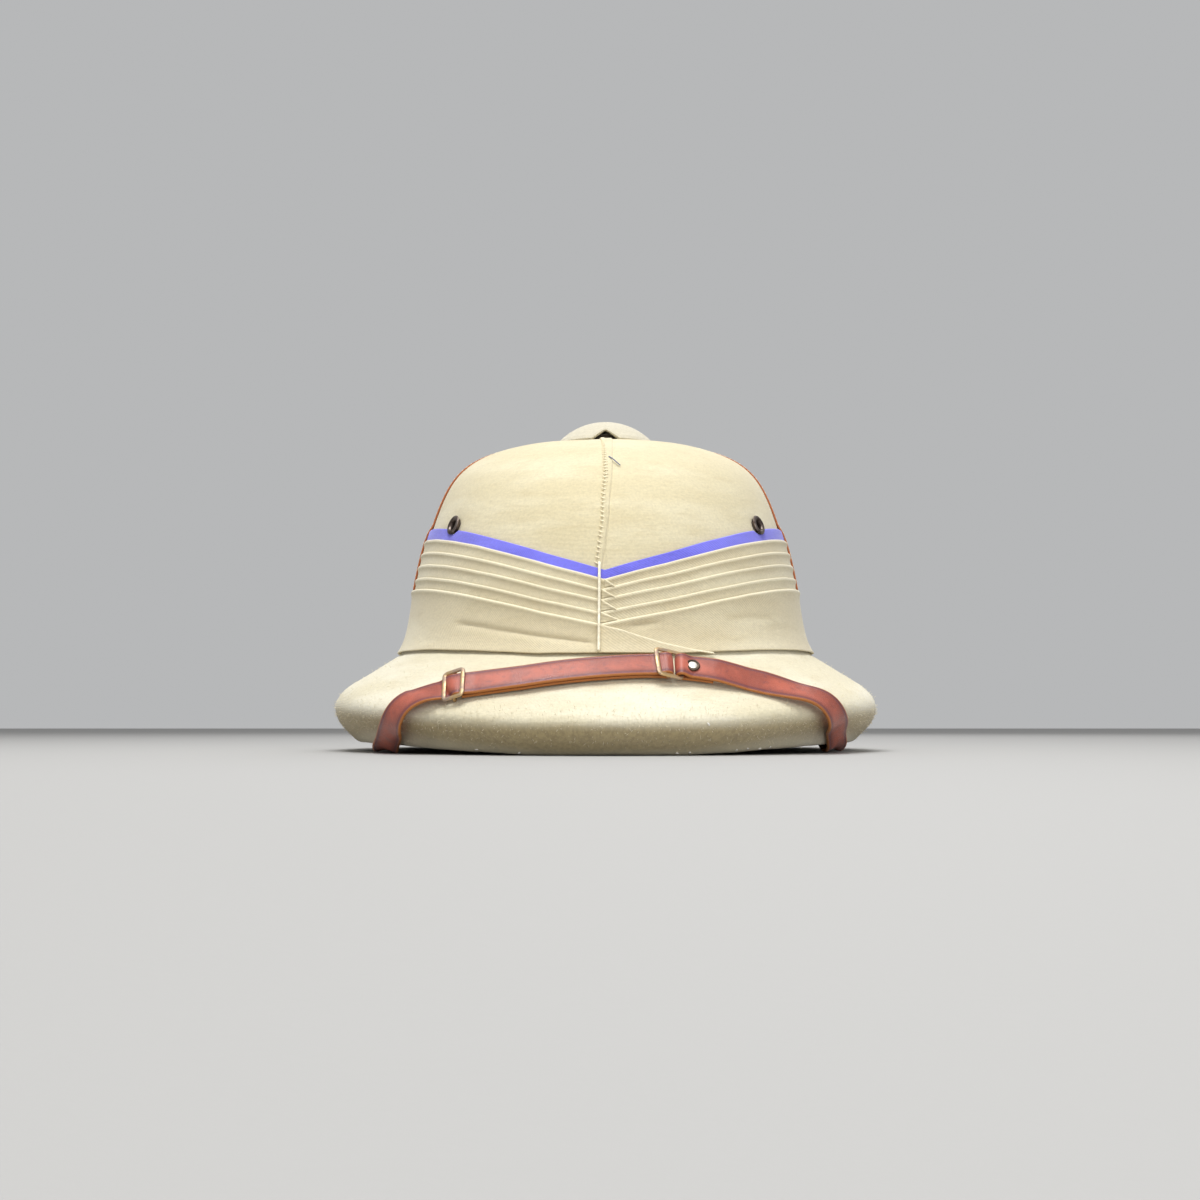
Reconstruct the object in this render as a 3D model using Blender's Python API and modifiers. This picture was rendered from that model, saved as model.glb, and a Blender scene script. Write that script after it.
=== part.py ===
"""A pith helmet: a canvas-covered crown wound with folded cloth, standing on a thick
sloping brim, with a vent cap, eyelets, side strips and a leather chin strap worn up
over the front of the brim.

Frame: metres, +Z up, the front faces -Y and the rim's lowest edge rests on Z = 0.
The lengths below are in millimetres and MM turns them into metres.
An angle round the helmet starts at the front and grows towards +X.
"""

from math import cos, pi, radians, sin, sqrt

import bmesh
import bpy
import numpy as np
from mathutils import Vector

MM = 0.001

# Room between neighbouring pieces
GAP = 0.3

# Brim
BRIM_WIDTH = 270.0
BRIM_LENGTH = 350.0
BRIM_RISE = 43.0
RIDGE_RISE_SIDE = 18.8
RIDGE_RISE_END = 14.2
RIM_ARCH = 4.0
EDGE_LEAN = 12.3
LAND_WIDTH = 4.5
LAND_ANGLE = radians(16.5)
RIDGE_ROUND = 3.2
RIDGE_FULLNESS = 0.9
SEAT_RISE = 3.0

# Crown
CROWN_WIDTH = 194.0
CROWN_LENGTH = 231.0
CROWN_TOP = 155.1
CROWN_WALL = 12.0
CROWN_ROOF = 13.0
CROWN_FLARE = 6.3
CROWN_Y = -2.0
VENT_HOLE_WIDTH = 20.0

# Shape of the crown's side: how far it draws in, and how squarely its shoulder turns at
# the sides and at the front and back
DRAW_IN = 0.29
SHOULDER_POWER = 15.0
END_SHOULDER_POWER = 7.4
SHOULDER_ROOT = 0.45
FLARE_REACH = 0.07

# Vent cap and the collar under it
CAP_RADIUS = 24.6
CAP_RISE = 11.1
CAP_EDGE = 1.0
CAP_WALL = 2.5
NOTCH_WIDTH = 14.0
NOTCH_RISE = 5.0
COLLAR_RADIUS = 17.5
COLLAR_WALL = 4.0
COLLAR_RISE = 3.2

# Eyelets
EYELET_ANGLE = radians(53.0)
EYELET_OVER_FLASH = 1.6
EYELET_FLANGE_RADIUS = 4.8
EYELET_FLANGE = 0.8
EYELET_FLANGE_ROUND = 0.4
EYELET_TUBE_RADIUS = 3.1
EYELET_HOLE_RADIUS = 2.4
EYELET_DEPTH = 7.0

# Wound cloth
FOLD_CLOTH = 1.0
BAND_CLOTH = 1.6
BAND_CLEARANCE = 0.6
FOLD_LAP = 1.5
LAP_SLANT = 1.2
CROSSING_POWER = 1.08
TAPE_WIDTH = 1.6
TAPE_CLOTH = 1.0
TAPE_OFF_CENTRE = -3.7

# Side strips
STRIP_WIDTH = 9.0
STRIP_LEATHER = 1.2
STRIP_TOP_CLEARANCE = 4.0

# Chin strap and its fittings
STRAP_WIDTH = 12.0
STRAP_LEATHER = 1.8
STRAP_UNDER_CLEARANCE = 1.0
STRAP_STEP = 7.0
WIRE = 1.6
SLIDE_SPACING = 8.6
RING_REACH = 4.4
RING_RISE = 0.7
RIVET_HEAD_RADIUS = 3.15
RIVET_HEAD = 1.0
RIVET_SHANK_RADIUS = 1.3
POST_HEAD_RADIUS = 4.0
POST_HEAD = 1.2
POST_SHANK_RADIUS = 1.7
POST_DEPTH = 6.0
STRAP_TAIL = 6.0

# Where the fittings sit on the strap, as angles round the helmet and lengths of strap
SLIDE_ANGLE = radians(-29.5)
RING_ANGLE = radians(14.0)
RIVET_FROM_RING = 10.4
SHORT_UNDERLAY = 14.2
FOLD_APPROACH = radians(20.0)
ROUTE_EASE = 9.0
ROUTE_STEP = 0.5
STATION_ROOM = 1.5
CUT_PAST = 4.0

# Places on the brim's section between which the strap leaves the brim's surface
UNDERSIDE_PLACES = (6.6, 7.1)

# How far the strap stands up off the brim about its lower edge, in degrees
STRAP_LEAN = (
    {"angle": -39.0, "lean": 0.0},
    {"angle": -32.0, "lean": 15.0},
    {"angle": -20.0, "lean": 17.0},
    {"angle": 0.0, "lean": 20.0},
    {"angle": 14.0, "lean": 20.0},
    {"angle": 30.0, "lean": 17.0},
    {"angle": 42.0, "lean": 0.0},
)

# How far the strap's section has turned to lie along the brim's edge, by its place
EDGE_TURN = (
    {"place": 2.70, "share": 0.0},
    {"place": 2.95, "share": 1.0},
    {"place": 7.00, "share": 1.0},
    {"place": 7.25, "share": 0.0},
    {"place": 7.70, "share": 0.0},
    {"place": 7.90, "share": 1.0},
)

SIDES = 44
ROUND_STEPS = 16

# Upper edges of the wound layers, as shares of the crown's height at the side and front
WOUND_LINES = {
    "flash": {"side": 0.576, "front": 0.339},
    "fold_1": {"side": 0.525, "front": 0.302},
    "fold_2": {"side": 0.467, "front": 0.262},
    "fold_3": {"side": 0.410, "front": 0.220},
    "fold_4": {"side": 0.350, "front": 0.170},
    "band": {"side": 0.299, "front": 0.123},
}

# Rows of the crown as shares of the way from its seat to the vent hole
CROWN_ROWS = (0.0, 0.025, 0.055, 0.10, 0.17, 0.30, 0.45, 0.60, 0.72, 0.81, 0.875, 0.92, 0.953, 0.979, 1.0)
LINING_ROWS = (0.0, 0.30, 0.55, 0.75, 0.88, 0.955, 0.988, 1.0)

# Route of the chin strap: angle in degrees, and place round the brim's section, where
# 2 is the crown's foot, 3 to 5 the rounded ridge, 6 and 7 the rim's land, 8 the head
# opening's lower edge and 9 its upper edge
STRAP_ROUTE = (
    {"angle": -90.0, "place": 8.85},
    {"angle": -90.0, "place": 8.15},
    {"angle": -89.5, "place": 7.90},
    {"angle": -85.0, "place": 7.70},
    {"angle": -70.0, "place": 7.35},
    {"angle": -59.0, "place": 7.00},
    {"angle": -54.0, "place": 6.20},
    {"angle": -50.0, "place": 5.80},
    {"angle": -45.0, "place": 5.30},
    {"angle": -40.0, "place": 4.10},
    {"angle": -37.0, "place": 2.88},
    {"angle": -33.0, "place": 2.74},
    {"angle": -26.0, "place": 2.60},
    {"angle": -18.0, "place": 2.47},
    {"angle": -9.0, "place": 2.36},
    {"angle": 0.0, "place": 2.29},
    {"angle": 9.0, "place": 2.25},
    {"angle": 18.0, "place": 2.31},
    {"angle": 26.0, "place": 2.44},
    {"angle": 31.0, "place": 2.56},
    {"angle": 36.0, "place": 2.71},
    {"angle": 41.0, "place": 2.92},
    {"angle": 44.5, "place": 4.10},
    {"angle": 49.5, "place": 5.20},
    {"angle": 55.0, "place": 5.75},
    {"angle": 58.0, "place": 6.20},
    {"angle": 61.5, "place": 7.00},
    {"angle": 72.0, "place": 7.35},
    {"angle": 85.0, "place": 7.70},
    {"angle": 89.5, "place": 7.90},
    {"angle": 90.0, "place": 8.15},
    {"angle": 90.0, "place": 8.85},
)

COLOURS = {
    "canvas": {"colour": (0.72, 0.60, 0.37), "roughness": 0.9, "metallic": 0.0},
    "wound_cloth": {"colour": (0.66, 0.56, 0.35), "roughness": 0.9, "metallic": 0.0},
    "flash_cloth": {"colour": (0.24, 0.22, 0.80), "roughness": 0.8, "metallic": 0.0},
    "strap_leather": {"colour": (0.33, 0.09, 0.05), "roughness": 0.5, "metallic": 0.0},
    "strip_leather": {"colour": (0.55, 0.27, 0.13), "roughness": 0.6, "metallic": 0.0},
    "brass": {"colour": (0.62, 0.44, 0.18), "roughness": 0.35, "metallic": 1.0},
    "dark_metal": {"colour": (0.10, 0.08, 0.07), "roughness": 0.45, "metallic": 1.0},
}

ANGLES = np.linspace(0.0, 2.0 * pi, SIDES, endpoint=False)

PARTS = None
CUTTERS = None


# Scene

def clear_scene():
    """Remove every object, so that the script can be run again."""
    for thing in list(bpy.data.objects):
        bpy.data.objects.remove(thing, do_unlink=True)


def new_collection(name):
    """A collection linked to the scene."""
    collection = bpy.data.collections.new(name)
    bpy.context.scene.collection.children.link(collection)
    return collection


def finish_material(name, finish):
    """A Principled material of the piece's own, with the colour of its finish."""
    material = bpy.data.materials.new(name)
    material.use_nodes = True
    shader = material.node_tree.nodes["Principled BSDF"]
    shader.inputs["Base Color"].default_value = (*COLOURS[finish]["colour"], 1.0)
    shader.inputs["Roughness"].default_value = COLOURS[finish]["roughness"]
    shader.inputs["Metallic"].default_value = COLOURS[finish]["metallic"]
    return material


def add_part(name, mesh, finish):
    """A named sub-part with its own material."""
    part = bpy.data.objects.new(name, mesh)
    part.data.materials.append(finish_material(name, finish))
    PARTS.objects.link(part)
    return part


def as_cutter(thing):
    """Keep an object as a guide for Booleans only."""
    for collection in list(thing.users_collection):
        collection.objects.unlink(thing)
    CUTTERS.objects.link(thing)
    thing.hide_render = True
    thing.display_type = "WIRE"
    return thing


def cut(part, cutter):
    """Take the cutter away from the part."""
    modifier = part.modifiers.new("cut_" + cutter.name, "BOOLEAN")
    modifier.operation = "DIFFERENCE"
    modifier.solver = "EXACT"
    modifier.object = cutter


def join(part, cutter):
    """Join the cutter's volume to the part."""
    modifier = part.modifiers.new("join_" + cutter.name, "BOOLEAN")
    modifier.operation = "UNION"
    modifier.solver = "EXACT"
    modifier.object = cutter


# Shapes

def loft_mesh(name, rings, ends):
    """Skin a grid of points whose rows are closed rings.

    rings is an array rows x points x 3. With ends "joined" the last row meets the
    first, with "capped" each end row is a face, and with "poles" each end row is one
    repeated point.
    """
    rows, columns = rings.shape[:2]
    shape = bmesh.new()
    verts = [shape.verts.new(point) for point in rings.reshape(-1, 3) * MM]
    last = rows if ends == "joined" else rows - 1
    for row in range(last):
        upper = (row + 1) % rows
        for column in range(columns):
            right = (column + 1) % columns
            shape.faces.new((
                verts[row * columns + column],
                verts[row * columns + right],
                verts[upper * columns + right],
                verts[upper * columns + column],
            ))
    if ends == "capped":
        shape.faces.new(verts[:columns])
        shape.faces.new(verts[-columns:])
    if ends == "poles":
        bmesh.ops.remove_doubles(shape, verts=shape.verts[:], dist=1e-6)
    bmesh.ops.recalc_face_normals(shape, faces=shape.faces[:])
    mesh = bpy.data.meshes.new(name)
    shape.to_mesh(mesh)
    shape.free()
    mesh.shade_smooth()
    mesh.set_sharp_from_angle(angle=radians(40.0))
    return mesh


def turned(name, profile, closed, place, axis, finish):
    """A profile of (radius, height) corners turned about an axis through a place."""
    mesh = bpy.data.meshes.new(name)
    verts = [(radius * MM, 0.0, height * MM) for radius, height in profile]
    edges = [(index, index + 1) for index in range(len(verts) - 1)]
    if closed:
        edges.append((len(verts) - 1, 0))
    mesh.from_pydata(verts, edges, [])
    part = add_part(name, mesh, finish)
    screw = part.modifiers.new("turn", "SCREW")
    screw.steps = ROUND_STEPS
    screw.render_steps = ROUND_STEPS
    screw.use_merge_vertices = True
    screw.merge_threshold = 0.00001
    screw.use_smooth_shade = False
    part.location = Vector(place) * MM
    part.rotation_mode = "QUATERNION"
    part.rotation_quaternion = Vector(axis).to_track_quat("Z", "Y")
    return part


def cutting_cylinder(name, radius, start, direction, depth):
    """A cylinder that begins at a point and runs along a direction."""
    direction = Vector(direction).normalized()
    middle = Vector(start) + direction * (depth / 2.0)
    bpy.ops.mesh.primitive_cylinder_add(
        vertices=ROUND_STEPS, radius=radius * MM, depth=depth * MM, location=middle * MM,
        rotation=direction.to_track_quat("Z", "Y").to_euler(),
    )
    cylinder = bpy.context.object
    cylinder.name = name
    return as_cutter(cylinder)


def wire_mesh(name, points, cyclic):
    """Round wire through a list of points, as a closed mesh."""
    curve = bpy.data.curves.new(name, "CURVE")
    curve.dimensions = "3D"
    curve.bevel_depth = WIRE / 2.0 * MM
    curve.bevel_resolution = 2
    curve.use_fill_caps = True
    spline = curve.splines.new("POLY")
    spline.points.add(len(points) - 1)
    for target, point in zip(spline.points, points):
        target.co = (*(Vector(point) * MM), 1.0)
    spline.use_cyclic_u = cyclic
    holder = bpy.data.objects.new(name + "_path", curve)
    PARTS.objects.link(holder)
    bpy.context.view_layer.update()
    evaluated = holder.evaluated_get(bpy.context.evaluated_depsgraph_get())
    mesh = bpy.data.meshes.new_from_object(evaluated)
    bpy.data.objects.remove(holder, do_unlink=True)
    shape = bmesh.new()
    shape.from_mesh(mesh)
    bmesh.ops.remove_doubles(shape, verts=shape.verts[:], dist=1e-7)
    bmesh.ops.recalc_face_normals(shape, faces=shape.faces[:])
    shape.to_mesh(mesh)
    shape.free()
    mesh.materials.clear()
    return mesh


# The helmet's own surfaces

def around(angle, half_width, half_length, height):
    """Point of an oval about the crown's axis: (a sin, -b cos) at a height."""
    x = half_width * np.sin(angle)
    y = CROWN_Y - half_length * np.cos(angle)
    return np.stack(np.broadcast_arrays(x, y, height), axis=-1)


def rim_lift(angle):
    """Height of the rim over the floor: RIM_ARCH (1 - c^4), c = |cos| / cos LAND_ANGLE.

    c is at most 1, so the rim is flat on the floor round the front and the back.
    """
    share = np.minimum(1.0, np.abs(np.cos(angle)) / cos(LAND_ANGLE))
    return RIM_ARCH * (1.0 - share ** 4)


def crown_foot(angle):
    """Height at which the crown's wall meets the brim's upper face."""
    return BRIM_RISE + rim_lift(angle)


def crown_narrowing(share, power=SHOULDER_POWER):
    """Size of the crown over its size at the foot: (1 - d t^2)(1 - |t|^p)^r."""
    return (1.0 - DRAW_IN * share ** 2) * (1.0 - np.abs(share) ** power) ** SHOULDER_ROOT


def crown_share(half_width):
    """Share of the crown's height where it has a half width, read back from its shape."""
    shares = 1.0 - np.linspace(1.0, 0.0, 4001) ** 2
    widths = CROWN_WIDTH / 2.0 * crown_narrowing(shares)
    return np.interp(-np.asarray(half_width), -widths, shares)


def on_crown(angle, share, proud=0.0):
    """Point on the crown's outside, or level with it but further out by proud."""
    foot = crown_foot(angle)
    half_width, half_length = crown_half_sizes(share)
    return around(angle, half_width + proud, half_length + proud, foot + share * (CROWN_TOP - foot))


def crown_normal(angle, share):
    """Outward unit normal of the crown, from two short steps on its surface."""
    step = 1e-4
    across = on_crown(angle + step, share) - on_crown(angle - step, share)
    up = on_crown(angle, share + step) - on_crown(angle, share - step)
    normal = np.cross(across, up)
    return normal / np.linalg.norm(normal, axis=-1, keepdims=True)


def crown_height_share(length):
    """A length up the crown as a share of its height."""
    return length / (CROWN_TOP - BRIM_RISE)


def crown_height_at(radius, angle):
    """Height of the crown's top at a radius from its axis.

    It lies between the last share whose oval reaches past the point and the next one.
    """
    shares = 1.0 - np.linspace(1.0, 0.0, 4001) ** 2
    half_width, half_length = (sizes[:, None] for sizes in crown_half_sizes(shares))
    turned = np.atleast_1d(angle)
    reach = np.hypot(radius * np.sin(turned) / half_width, radius * np.cos(turned) / half_length)
    last = np.sum(reach < 1.0, axis=0) - 1
    column = np.arange(len(turned))
    past = (1.0 - reach[last, column]) / (reach[last + 1, column] - reach[last, column])
    share = shares[last] + past * (shares[last + 1] - shares[last])
    foot = crown_foot(turned)
    return (foot + share * (CROWN_TOP - foot)).reshape(np.shape(angle))


def wound_line(layer, angle):
    """Share of the crown's height of a layer's upper edge.

    Over the front it falls from the side to the middle as (1 - |sin|)^CROSSING_POWER.
    """
    side = WOUND_LINES[layer]["side"]
    front = WOUND_LINES[layer]["front"]
    dip = (1.0 - np.abs(np.sin(angle))) ** CROSSING_POWER
    return side - (side - front) * np.where(np.cos(angle) > 0.0, dip, 0.0)


def brim_corners(angle, proud=0.0):
    """Corners of the brim's section at each angle, pushed out of the brim by proud.

    They run from the head opening's upper edge over the seat, the crown's foot, the
    rounded ridge, the edge face, the rim's land and the underside, back to the first.
    The push is a mitre in the section's own plane.
    """
    angle = np.asarray(angle, dtype=float)
    level = np.zeros_like(angle)
    lift = rim_lift(angle)
    foot = crown_foot(angle)
    inner = (level + CROWN_WIDTH / 2.0 - CROWN_WALL, level + CROWN_LENGTH / 2.0 - CROWN_WALL)
    seat_share = SEAT_RISE / (CROWN_TOP - foot)
    seat = crown_half_sizes(seat_share)
    base = crown_half_sizes(level)
    ridge_length = BRIM_LENGTH / 2.0 + np.where(np.cos(angle) > 0.0, CROWN_Y, -CROWN_Y)
    ridge = (level + BRIM_WIDTH / 2.0, ridge_length)
    ridge_height = lift + RIDGE_RISE_SIDE + (RIDGE_RISE_END - RIDGE_RISE_SIDE) * np.cos(angle) ** 2
    low = (ridge[0] - EDGE_LEAN, ridge[1] - EDGE_LEAN)
    land = (low[0] - LAND_WIDTH, low[1] - LAND_WIDTH)
    slope = (foot - ridge_height) / (section_radius(angle, ridge) - section_radius(angle, base))
    under = lift + slope * (section_radius(angle, land) - section_radius(angle, inner))
    corners = [
        (inner, foot + SEAT_RISE),
        (seat, foot + SEAT_RISE),
        (base, foot),
        ridge_shoulder(angle, (ridge, ridge_height), (base, foot)),
        (ridge, ridge_height),
        ridge_shoulder(angle, (ridge, ridge_height), (low, lift)),
        (low, lift),
        (land, lift),
        (inner, under),
    ]
    widths = np.stack([corner[0][0] for corner in corners])
    lengths = np.stack([corner[0][1] for corner in corners])
    heights = np.stack([corner[1] for corner in corners])
    radii = np.hypot(widths * np.sin(angle), lengths * np.cos(angle))
    run = np.roll(radii, -1, axis=0) - radii
    rise = np.roll(heights, -1, axis=0) - heights
    size = np.hypot(run, rise)
    out = -rise / size
    up = run / size
    out_before = np.roll(out, 1, axis=0)
    up_before = np.roll(up, 1, axis=0)
    mitre = proud / (1.0 + out * out_before + up * up_before)
    shift = (out + out_before) * mitre
    return around(angle, widths + shift, lengths + shift, heights + (up + up_before) * mitre)


def crown_half_sizes(share):
    """Half width and half length of the crown's outside at a share of its height."""
    grow = CROWN_FLARE * np.exp(-share / FLARE_REACH)
    half_width = CROWN_WIDTH / 2.0 * crown_narrowing(share) + grow
    return half_width, CROWN_LENGTH / 2.0 * crown_narrowing(share, END_SHOULDER_POWER) + grow


def section_radius(angle, half_sizes):
    """Distance from the crown's axis of an oval's point at an angle."""
    return np.hypot(half_sizes[0] * np.sin(angle), half_sizes[1] * np.cos(angle))


def ridge_shoulder(angle, ridge, end):
    """Corner that rounds the ridge towards one end of the faces that meet there.

    It lies RIDGE_ROUND along the face and stands RIDGE_FULLNESS proud of it.
    """
    run = section_radius(angle, end[0]) - section_radius(angle, ridge[0])
    rise = end[1] - ridge[1]
    size = np.hypot(run, rise)
    share = RIDGE_ROUND / size
    outward = RIDGE_FULLNESS * np.abs(rise) / size
    upward = RIDGE_FULLNESS * -run / size * np.sign(rise)
    half_sizes = tuple(a + share * (b - a) + outward for a, b in zip(ridge[0], end[0]))
    return half_sizes, ridge[1] + share * rise + upward


# Brim and crown

def make_brim():
    """The brim: its section carried round the head opening."""
    return add_part("brim", loft_mesh("brim", brim_corners(ANGLES), "joined"), "canvas")


def make_crown():
    """The crown: an outer skin and a lining joined at the seat and at the vent hole."""
    foot = crown_foot(ANGLES)
    seat = foot + SEAT_RISE + GAP
    seat_share = (SEAT_RISE + GAP) / (CROWN_TOP - foot)
    hole_share = crown_share(VENT_HOLE_WIDTH / 2.0)
    rings = [on_crown(ANGLES, seat_share + row * (hole_share - seat_share)) for row in CROWN_ROWS]
    half_width = CROWN_WIDTH / 2.0 - CROWN_WALL
    half_length = CROWN_LENGTH / 2.0 - CROWN_WALL
    lining_share = crown_share(VENT_HOLE_WIDTH / 2.0 * CROWN_WIDTH / 2.0 / half_width)
    for row in reversed(LINING_ROWS):
        share = row * lining_share
        narrowing = crown_narrowing(share)
        height = seat + share * (CROWN_TOP - CROWN_ROOF - seat)
        rings.append(around(ANGLES, half_width * narrowing, half_length * narrowing, height))
    return add_part("crown", loft_mesh("crown", np.stack(rings), "joined"), "canvas")


# Wound cloth

def make_wound_layer(name, rows):
    """A ring of cloth from (share, proud) rows, each an array over the angles."""
    rings = np.stack([on_crown(ANGLES, share, proud) for share, proud in rows])
    return add_part(name, loft_mesh(name, rings, "joined"), "wound_cloth")


def make_wound_cloth():
    """The flash, four narrow folds and the wide band, each lapping the one above it."""
    tail = GAP + FOLD_CLOTH
    lap = tail + GAP
    lap_share = crown_height_share(FOLD_LAP)
    gap_share = crown_height_share(GAP)
    slant_share = crown_height_share(LAP_SLANT)
    layers = list(WOUND_LINES)
    flash_top = wound_line("flash", ANGLES)
    flash_end = wound_line("fold_1", ANGLES) - lap_share
    flash = make_wound_layer("puggaree_flash", (
        (flash_top, tail), (flash_end, tail), (flash_end, GAP), (flash_top, GAP),
    ))
    flash.data.materials[0] = finish_material("puggaree_flash", "flash_cloth")
    for layer, below in zip(layers[1:-1], layers[2:]):
        top = wound_line(layer, ANGLES)
        next_top = wound_line(below, ANGLES)
        end = next_top - lap_share
        clear = top - lap_share - gap_share
        make_wound_layer("puggaree_" + layer, (
            (top, lap + FOLD_CLOTH),
            (clear, lap + FOLD_CLOTH),
            (next_top + gap_share, tail),
            (end, tail),
            (end, GAP),
            (clear - slant_share, GAP),
            (clear, lap),
            (top, lap),
        ))
    make_band(lap, lap_share, gap_share, slant_share)
    return flash


def make_band(lap, lap_share, gap_share, slant_share):
    """The wide lowest turn, flaring with the crown's foot down to the brim."""
    top = wound_line("band", ANGLES)
    clear = top - lap_share - gap_share
    settled = clear - slant_share
    foot = crown_height_share(2.0 * GAP)
    outside = BAND_CLEARANCE + BAND_CLOTH
    low, low_proud = crown_foot_row(ANGLES, outside, 2.0 * GAP)
    steps = (0.50, 0.25, 0.10)
    rows = [(top, lap + BAND_CLOTH), (clear, lap + BAND_CLOTH)]
    rows += [(foot + step * (settled - foot), outside) for step in steps]
    rows += [(low, low_proud), (foot, BAND_CLEARANCE)]
    rows += [(foot + step * (settled - foot), BAND_CLEARANCE) for step in reversed(steps)]
    rows += [(settled, BAND_CLEARANCE), (clear, lap), (top, lap)]
    return make_wound_layer("puggaree_band", rows)


def crown_foot_row(angle, proud, clearance):
    """Share and proud value of a point over the brim, outside the crown's foot.

    The point stands off the foot by proud and clears the brim's falling top.
    """
    foot, shoulder = brim_corners(angle)[2:4]
    run = np.linalg.norm(shoulder[..., :2] - foot[..., :2], axis=-1)
    fall = (foot[..., 2] - shoulder[..., 2]) / run
    share = (clearance - fall * proud) / (CROWN_TOP - foot[..., 2])
    return share, proud - CROWN_FLARE * (np.exp(-share / FLARE_REACH) - 1.0)


def ribbon_up_crown(name, angle, shares, levels, width, thickness, finish):
    """A flat strip up the crown at one angle, its lower face at a level over the wall."""
    points = on_crown(angle, shares)
    normals = crown_normal(angle, shares)
    across = np.array((cos(angle), sin(angle), 0.0)) * width / 2.0
    low = points + normals * levels[:, None]
    high = low + normals * thickness
    rings = np.stack([low - across, low + across, high + across, high - across], axis=1)
    return add_part(name, loft_mesh(name, rings, "capped"), finish)


def make_tape():
    """The narrow upright tape over the front crossing, down to the brim."""
    tail = GAP + FOLD_CLOTH
    over_fold = tail + GAP + FOLD_CLOTH + GAP
    over_band = tail + GAP + BAND_CLOTH + GAP
    angle = TAPE_OFF_CENTRE / (CROWN_LENGTH / 2.0)
    rise = crown_height_share(LAP_SLANT)
    flash, fold, band = (float(wound_line(layer, angle)) for layer in ("flash", "fold_1", "band"))
    low, low_proud = crown_foot_row(np.array([angle]), over_band + TAPE_CLOTH, 2.0 * GAP)
    rows = np.array((
        (low[0], low_proud[0] - TAPE_CLOTH), (0.3 * band, over_band), (band + rise, over_band),
        (band + 2.0 * rise, over_fold), (fold + rise, over_fold),
        (fold + 2.0 * rise, tail + GAP), (flash + rise, tail + GAP), (flash + 2.0 * rise, GAP),
    ))
    inside = on_crown(angle, rows[:, 0], rows[:, 1])
    outside = on_crown(angle, rows[:, 0], rows[:, 1] + TAPE_CLOTH)
    across = np.array((TAPE_WIDTH / 2.0, 0.0, 0.0))
    rings = np.stack([inside - across, inside + across, outside + across, outside - across], axis=1)
    return add_part("puggaree_tape", loft_mesh("puggaree_tape", rings, "capped"), "wound_cloth")


def make_side_strips():
    """Leather strips down the side seams, over the folds to the band's upper edge."""
    tail = GAP + FOLD_CLOTH
    over_fold = tail + GAP + FOLD_CLOTH + GAP
    rise = crown_height_share(LAP_SLANT)
    top = float(crown_share(CAP_RADIUS + STRIP_TOP_CLEARANCE))
    lines = {layer: WOUND_LINES[layer]["side"] for layer in WOUND_LINES}
    foot = lines["band"] + crown_height_share(GAP)
    keys = (foot, lines["fold_1"] + rise, lines["fold_1"] + 2.0 * rise, lines["flash"] + rise,
            lines["flash"] + 2.0 * rise, top)
    key_levels = (over_fold, over_fold, tail + GAP, tail + GAP, GAP, GAP)
    hole_share = float(crown_share(VENT_HOLE_WIDTH / 2.0))
    rows = np.array(CROWN_ROWS) * hole_share
    rows = rows[(rows > keys[4]) & (rows < top)]
    shares = np.unique(np.concatenate([keys, rows]))
    levels = np.interp(shares, keys, key_levels)
    for name, angle in (("side_strip_left", -pi / 2.0), ("side_strip_right", pi / 2.0)):
        ribbon_up_crown(name, angle, shares, levels, STRIP_WIDTH, STRIP_LEATHER, "strip_leather")


# Vent and eyelets

def cap_sphere():
    """Radius and centre height of the sphere that the vent cap's outside follows."""
    rim = float(crown_height_at(CAP_RADIUS, pi / 2.0)) + GAP + CAP_EDGE
    radius = (CAP_RADIUS ** 2 + CAP_RISE ** 2) / (2.0 * CAP_RISE)
    return radius, rim + CAP_RISE - radius


def cap_angles():
    """Angles of the cap's columns, with seven across each notch."""
    half = NOTCH_WIDTH / 2.0 / CAP_RADIUS
    notch = half * np.array((-1.0, -0.7, -0.35, 0.0, 0.35, 0.7))
    plain = np.linspace(half, pi / 2.0 - half, 4, endpoint=False)
    quarter = np.concatenate([notch, plain])
    return np.concatenate([quarter + turn * pi / 2.0 for turn in range(4)])


def make_vent_cap():
    """The domed cap, with a pointed arch cut into its rim on each quarter."""
    angles = cap_angles()
    radius, centre = cap_sphere()
    half = NOTCH_WIDTH / 2.0 / CAP_RADIUS
    from_notch = np.abs((angles + pi / 4.0) % (pi / 2.0) - pi / 4.0)
    arch = NOTCH_RISE * (1.0 - np.minimum(1.0, from_notch / half) ** 1.3)
    rim = centre + sqrt(radius ** 2 - CAP_RADIUS ** 2)
    edge_height = rim + arch
    edge_radius = np.sqrt(radius ** 2 - (edge_height - centre) ** 2)
    low = np.maximum(crown_height_at(CAP_RADIUS, angles) + GAP, edge_height - CAP_EDGE)
    rings = []
    for share in (0.0, 0.4, 0.7, 0.88, 1.0):
        reach = share * edge_radius
        rings.append(round_ring(angles, reach, centre + np.sqrt(radius ** 2 - reach ** 2)))
    rings.append(round_ring(angles, edge_radius, low))
    inner_radius = radius - CAP_WALL
    rings.append(round_ring(angles, edge_radius - CAP_WALL, low))
    for share in (0.85, 0.55, 0.0):
        reach = share * (edge_radius - CAP_WALL)
        rings.append(round_ring(angles, reach, centre + np.sqrt(inner_radius ** 2 - reach ** 2)))
    return add_part("vent_cap", loft_mesh("vent_cap", np.stack(rings), "poles"), "canvas")


def round_ring(angles, radius, height):
    """A circle about the crown's axis."""
    return around(angles, radius, radius, height + 0.0 * angles)


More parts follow.
